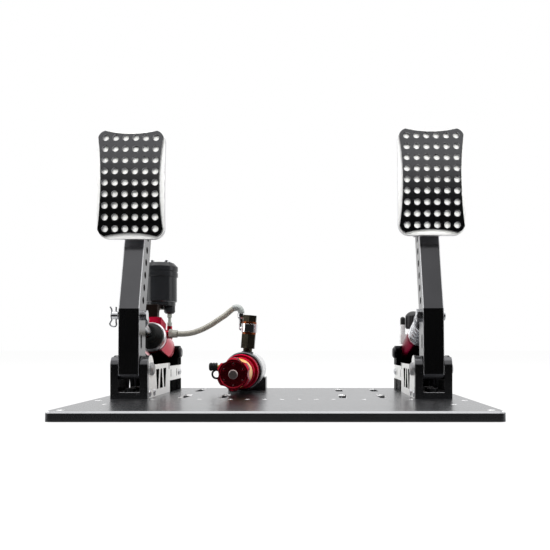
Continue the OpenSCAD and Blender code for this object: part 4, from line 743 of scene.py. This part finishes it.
class PEDALS_OT_elastomer(bpy.types.Operator):
    """Gold elastomer block between the preload knob and the collar"""
    bl_idname = "pedals.elastomer"
    bl_label = "Elastomer"

    # Its near end and its length, and its radii
    START, LENGTH, BORE, RADIUS = -15.7, 33, 4.9, 14.5
    # Depth of the grooves, bulges between them and their roundness, points along it, and the ram's travel
    GROOVE, BULGES, ROUNDNESS, STEPS, TRAVEL = 1.6, 3, 0.4, 36, 4

    def execute(self, context):
        waist = self.RADIUS - self.GROOVE
        profile = [(self.BORE, self.LENGTH), (self.BORE, 0), (waist, 0)]
        for i in range(1, self.STEPS):
            t = i / self.STEPS
            swell = abs(math.sin(math.pi * self.BULGES * t)) ** self.ROUNDNESS
            profile.append((waist + self.GROOVE * swell, self.LENGTH * t))
        profile += [(waist, self.LENGTH), (self.BORE, self.LENGTH)]
        block = turned("elastomer_block", profile, 64)
        settle(block, axis_frame((SLAVE_X, self.START, SLAVE_Z), (0, 1, 0)))
        gold = context.scene.pedal_colours.elastomer
        dress(block, surface("Cast polyurethane, gold", gold, 0.0, 0.32, mottle=0.15, bump=0.03))
        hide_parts("slave_elastomer")
        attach(block, "base")
        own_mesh(block)
        return {"FINISHED"}


def join(name, parts):
    """Joins pieces into the first one."""
    bpy.ops.object.select_all(action="DESELECT")
    for part in parts:
        part.select_set(True)
    bpy.context.view_layer.objects.active = parts[0]
    bpy.ops.object.join()
    parts[0].name = name
    return parts[0]


class PEDALS_OT_bleed_cap(bpy.types.Operator):
    """Rubber cap of the bleed nipple, with its tether ring"""
    bl_idname = "pedals.bleed_cap"
    bl_label = "Bleed cap"

    # Middle of its open end, and its ribs
    FACE = (-75.35, 66.2, 36.8)
    RIBS = ((2.4, 4.5), (2.4, 0), (4.2, 0), (4.6, 0.4), (4.6, 1.8), (4.0, 2.2), (4.0, 2.8), (4.6, 3.2),
            (4.6, 4.6), (4.0, 5.0), (4.0, 5.6), (4.6, 6.0), (4.6, 7.6), (4.2, 8.4), (3.4, 9.0))
    # Tether ring: its two radii and how far it hangs below the cap
    RING, CORD, DROP = 4.6, 1.1, 8.1

    def execute(self, context):
        cap = turned("bleed_cap_rubber", self.RIBS, 32)
        settle(cap, axis_frame(self.FACE, (-1, 0, 0)))
        x, y, z = self.FACE
        bpy.ops.object.select_all(action="DESELECT")
        bpy.ops.mesh.primitive_torus_add(
            major_radius=self.RING * MM, minor_radius=self.CORD * MM, major_segments=40, minor_segments=14,
            location=Vector((x - self.CORD, y, z - self.DROP)) * MM, rotation=(math.pi / 2, 0, 0))
        ring = settle(bpy.context.object)
        bpy.ops.object.shade_smooth()
        cap = join("bleed_cap_rubber", [cap, ring])
        dress(cap, rubbery())
        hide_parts("bleed_cap")
        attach(cap, "base")
        return {"FINISHED"}


def socket_screw(name, head_r, head_h, shank_r, shank, key):
    """Button-head screw along Z with its seat at 0 and a hexagon socket."""
    profile = [(shank_r, -shank), (shank_r, 0), (head_r, 0), (head_r, head_h * 0.35),
               (head_r * 0.93, head_h * 0.66), (head_r * 0.78, head_h * 0.9), (head_r * 0.6, head_h)]
    screw = turned(name, profile, 24)
    bpy.ops.object.select_all(action="DESELECT")
    bpy.ops.mesh.primitive_cylinder_add(
        vertices=6, radius=key * MM, depth=head_h * MM, location=(0, 0, head_h * MM))
    cutter = settle(bpy.context.object)
    only(screw)
    cut = screw.modifiers.new("Socket", "BOOLEAN")
    cut.object = cutter
    cut.operation = "DIFFERENCE"
    bpy.ops.object.modifier_apply(modifier="Socket")
    bpy.data.objects.remove(cutter)
    return screw


def copies(name, model, places):
    """One piece of a model's copies, each at its own place."""
    made = []
    for place in places:
        twin = model.copy()
        twin.data = model.data.copy()
        bpy.context.scene.collection.objects.link(twin)
        made.append(settle(twin, place))
    bpy.data.objects.remove(model)
    return join(name, made)


class PEDALS_OT_side_screws(bpy.types.Operator):
    """Button-head screws of the side plates"""
    bl_idname = "pedals.side_screws"
    bl_label = "Side plate screws"

    # Depth and height of each screw
    SPOTS = ((-15.4, 13), (3.5, 13), (128.5, 29.15), (136.5, 29.15))

    def execute(self, context):
        head = context.scene.pedal_sizes.screw_head_d / MM
        model = socket_screw("side_screws", head / 2, head_h=1.2, shank_r=1.98, shank=5, key=1.5)
        places = [axis_frame((x + s * SIDE_FACE, y, z), (s, 0, 0))
                  for x in (BRAKE_X, THROTTLE_X) for s in (-1, 1) for y, z in self.SPOTS]
        screws = copies("side_screws", model, places)
        dress(screws, surface("Stainless screws", context.scene.pedal_colours.steel, 1.0, 0.25))
        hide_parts("side_plate_screws")
        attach(screws, "base")
        return {"FINISHED"}


class PEDALS_OT_knob_screws(bpy.types.Operator):
    """Small screws in the preload knob's face"""
    bl_idname = "pedals.knob_screws"
    bl_label = "Knob screws"

    # Depth of their seats, radius of their circle, and how many
    SEAT, CIRCLE, COUNT = -31.6, 10.4, 6

    def execute(self, context):
        model = socket_screw("knob_screws", 1.0, head_h=1.5, shank_r=0.8, shank=0.1, key=0.4)
        places = []
        for k in range(self.COUNT):
            a = 2 * math.pi * (k + 0.5) / self.COUNT
            spot = (SLAVE_X + self.CIRCLE * math.cos(a), self.SEAT, SLAVE_Z + self.CIRCLE * math.sin(a))
            places.append(axis_frame(spot, (0, -1, 0)))
        screws = copies("knob_screws", model, places)
        # Stainless screws, tinted pink as a painted reflection of the red knob around them
        dress(screws, surface("Stainless knob screws", linear("#94686A"), 1.0, 0.35))
        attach(screws, "preload_dial")
        return {"FINISHED"}


class PEDALS_OT_stage(bpy.types.Operator):
    """Pale floor, soft lights, and the photograph's camera"""
    bl_idname = "pedals.stage"
    bl_label = "Stage"

    # The photograph's camera: focal length, picture width and shift in pixels, place, and film width
    FOCAL, PICTURE, SHIFT = 675, 550, (-37, 71.6)
    EYE, FILM = (28.9, -678.2, 59.1), 36
    # Floor: side and middle in metres, and the share of pure white that the camera sees on it
    FLOOR, FLOOR_AT, WHITE = 10, (0, 4.45, -0.4 * MM), 0.88
    # Brightness of the room behind the camera
    ROOM = 0.015
    # Lamps: name, place, target and size in metres, and power; the last one isn't mirrored in the parts
    LAMPS = (
        ("Top softbox", (0, 0.1, 1.5), (0, 0.05, 0), (1.8, 1.4), 10),
        ("Left softbox", (-1.3, -0.1, 0.7), (-0.1, 0, 0.1), (0.7, 1.2), 7),
        ("Right softbox", (1.3, -0.1, 0.7), (0.1, 0, 0.1), (0.7, 1.2), 4),
        ("Front fill", (0.1, -1.4, 0.8), (0, 0, 0.15), (1.6, 0.4), 24),
    )

    def execute(self, context):
        scene = context.scene
        scene.view_settings.view_transform = "Standard"
        self.camera(scene)
        self.floor()
        self.world(scene)
        lamps = [self.lamp(*row) for row in self.LAMPS]
        lamps[-1].visible_glossy = False
        return {"FINISHED"}

    def camera(self, scene):
        data = bpy.data.cameras.new("Camera")
        data.sensor_width = self.FILM
        data.lens = self.FOCAL / self.PICTURE * self.FILM
        data.shift_x, data.shift_y = (s / self.PICTURE for s in self.SHIFT)
        data.clip_start = 0.01
        view = bpy.data.objects.new("Camera", data)
        view.location = Vector(self.EYE) * MM
        view.rotation_euler = (math.pi / 2, 0, 0)
        scene.collection.objects.link(view)
        scene.camera = view

    def floor(self):
        bpy.ops.object.select_all(action="DESELECT")
        bpy.ops.mesh.primitive_plane_add(size=self.FLOOR, location=self.FLOOR_AT)
        floor = settle(bpy.context.object)
        floor.name = "studio_floor"
        material, tree = blank("Studio floor, white")
        path = add(tree, "ShaderNodeLightPath")
        seen = maths(tree, "MULTIPLY", path.outputs["Is Camera Ray"], self.WHITE)
        matte = add(tree, "ShaderNodeBsdfDiffuse", {"Color": (0.9, 0.9, 0.9, 1)})
        glow = add(tree, "ShaderNodeEmission", {"Strength": 1.0})
        both = add(tree, "ShaderNodeMixShader", links={0: seen, 1: matte.outputs[0], 2: glow.outputs[0]})
        # Mirrored in the parts, the floor is white behind the plate's front edge and dark before it
        spot = add(tree, "ShaderNodeTexCoord").outputs["Object"]
        place = add(tree, "ShaderNodeSeparateXYZ", links={0: spot})
        shade = add(tree, "ShaderNodeMapRange",
                    {"From Min": -0.16, "From Max": -0.1, "To Min": 0.06, "To Max": 0.9},
                    {"Value": place.outputs["Y"]})
        dim = add(tree, "ShaderNodeEmission", links={"Strength": shade.outputs[0]})
        every = add(tree, "ShaderNodeMixShader",
                    links={0: path.outputs["Is Glossy Ray"], 1: both.outputs[0], 2: dim.outputs[0]})
        add(tree, "ShaderNodeOutputMaterial", links={"Surface": every.outputs[0]})
        dress(floor, material)

    def world(self, scene):
        world = bpy.data.worlds.new("Studio")
        scene.world = world
        world.use_nodes = True
        tree = world.node_tree
        tree.nodes.clear()
        path = add(tree, "ShaderNodeLightPath")
        ray = add(tree, "ShaderNodeTexCoord").outputs["Generated"]
        split = add(tree, "ShaderNodeSeparateXYZ", links={0: ray})

        def lift(axis, start, end):
            """From the dark room to white along one axis."""
            return add(tree, "ShaderNodeMapRange",
                       {"From Min": start, "From Max": end, "To Min": self.ROOM, "To Max": 1.0},
                       {"Value": split.outputs[axis]}, interpolation_type="SMOOTHSTEP").outputs[0]

        # White backdrop behind the set and light from above; the room behind the camera is dark
        lit = most(tree, lift("Y", -0.35, 0.1), lift("Z", 0.29, 0.46))
        seen = most(tree, lit, path.outputs["Is Camera Ray"])
        shader = add(tree, "ShaderNodeBackground", {"Color": (1, 1, 1, 1)}, {"Strength": seen})
        add(tree, "ShaderNodeOutputWorld", links={"Surface": shader.outputs[0]})

    def lamp(self, name, place, target, size, power):
        data = bpy.data.lights.new(name, "AREA")
        data.shape = "RECTANGLE"
        data.size, data.size_y = size
        data.energy = power
        light = bpy.data.objects.new(name, data)
        light.location = place
        light.rotation_euler = (Vector(target) - Vector(place)).to_track_quat("-Z", "Y").to_euler()
        bpy.context.scene.collection.objects.link(light)
        return light


OPERATORS = (
    PEDALS_OT_stage, PEDALS_OT_hose, PEDALS_OT_finishes, PEDALS_OT_spring, PEDALS_OT_pin_clip,
    PEDALS_OT_boot, PEDALS_OT_elastomer, PEDALS_OT_bleed_cap, PEDALS_OT_side_screws,
    PEDALS_OT_knob_screws,
)


class PEDALS_PT_panel(bpy.types.Panel):
    """Lists the steps that dress the pedal set"""
    bl_idname = "PEDALS_PT_panel"
    bl_label = "Sim racing pedals"
    bl_space_type = "VIEW_3D"
    bl_region_type = "UI"
    bl_category = "Pedals"

    def draw(self, context):
        for group in (context.scene.pedal_colours, context.scene.pedal_sizes):
            for key in group.__annotations__:
                self.layout.prop(group, key)
        for operator in OPERATORS:
            self.layout.operator(operator.bl_idname)


CLASSES = (PedalColours, PedalSizes, *OPERATORS, PEDALS_PT_panel)


def register():
    for cls in CLASSES:
        bpy.utils.register_class(cls)
    bpy.types.Scene.pedal_colours = bpy.props.PointerProperty(type=PedalColours)
    bpy.types.Scene.pedal_sizes = bpy.props.PointerProperty(type=PedalSizes)


def unregister():
    del bpy.types.Scene.pedal_sizes
    del bpy.types.Scene.pedal_colours
    for cls in reversed(CLASSES):
        bpy.utils.unregister_class(cls)


def main():
    register()
    for operator in OPERATORS:
        group, name = operator.bl_idname.split(".")
        getattr(getattr(bpy.ops, group), name)()


if __name__ == "__main__":
    main()
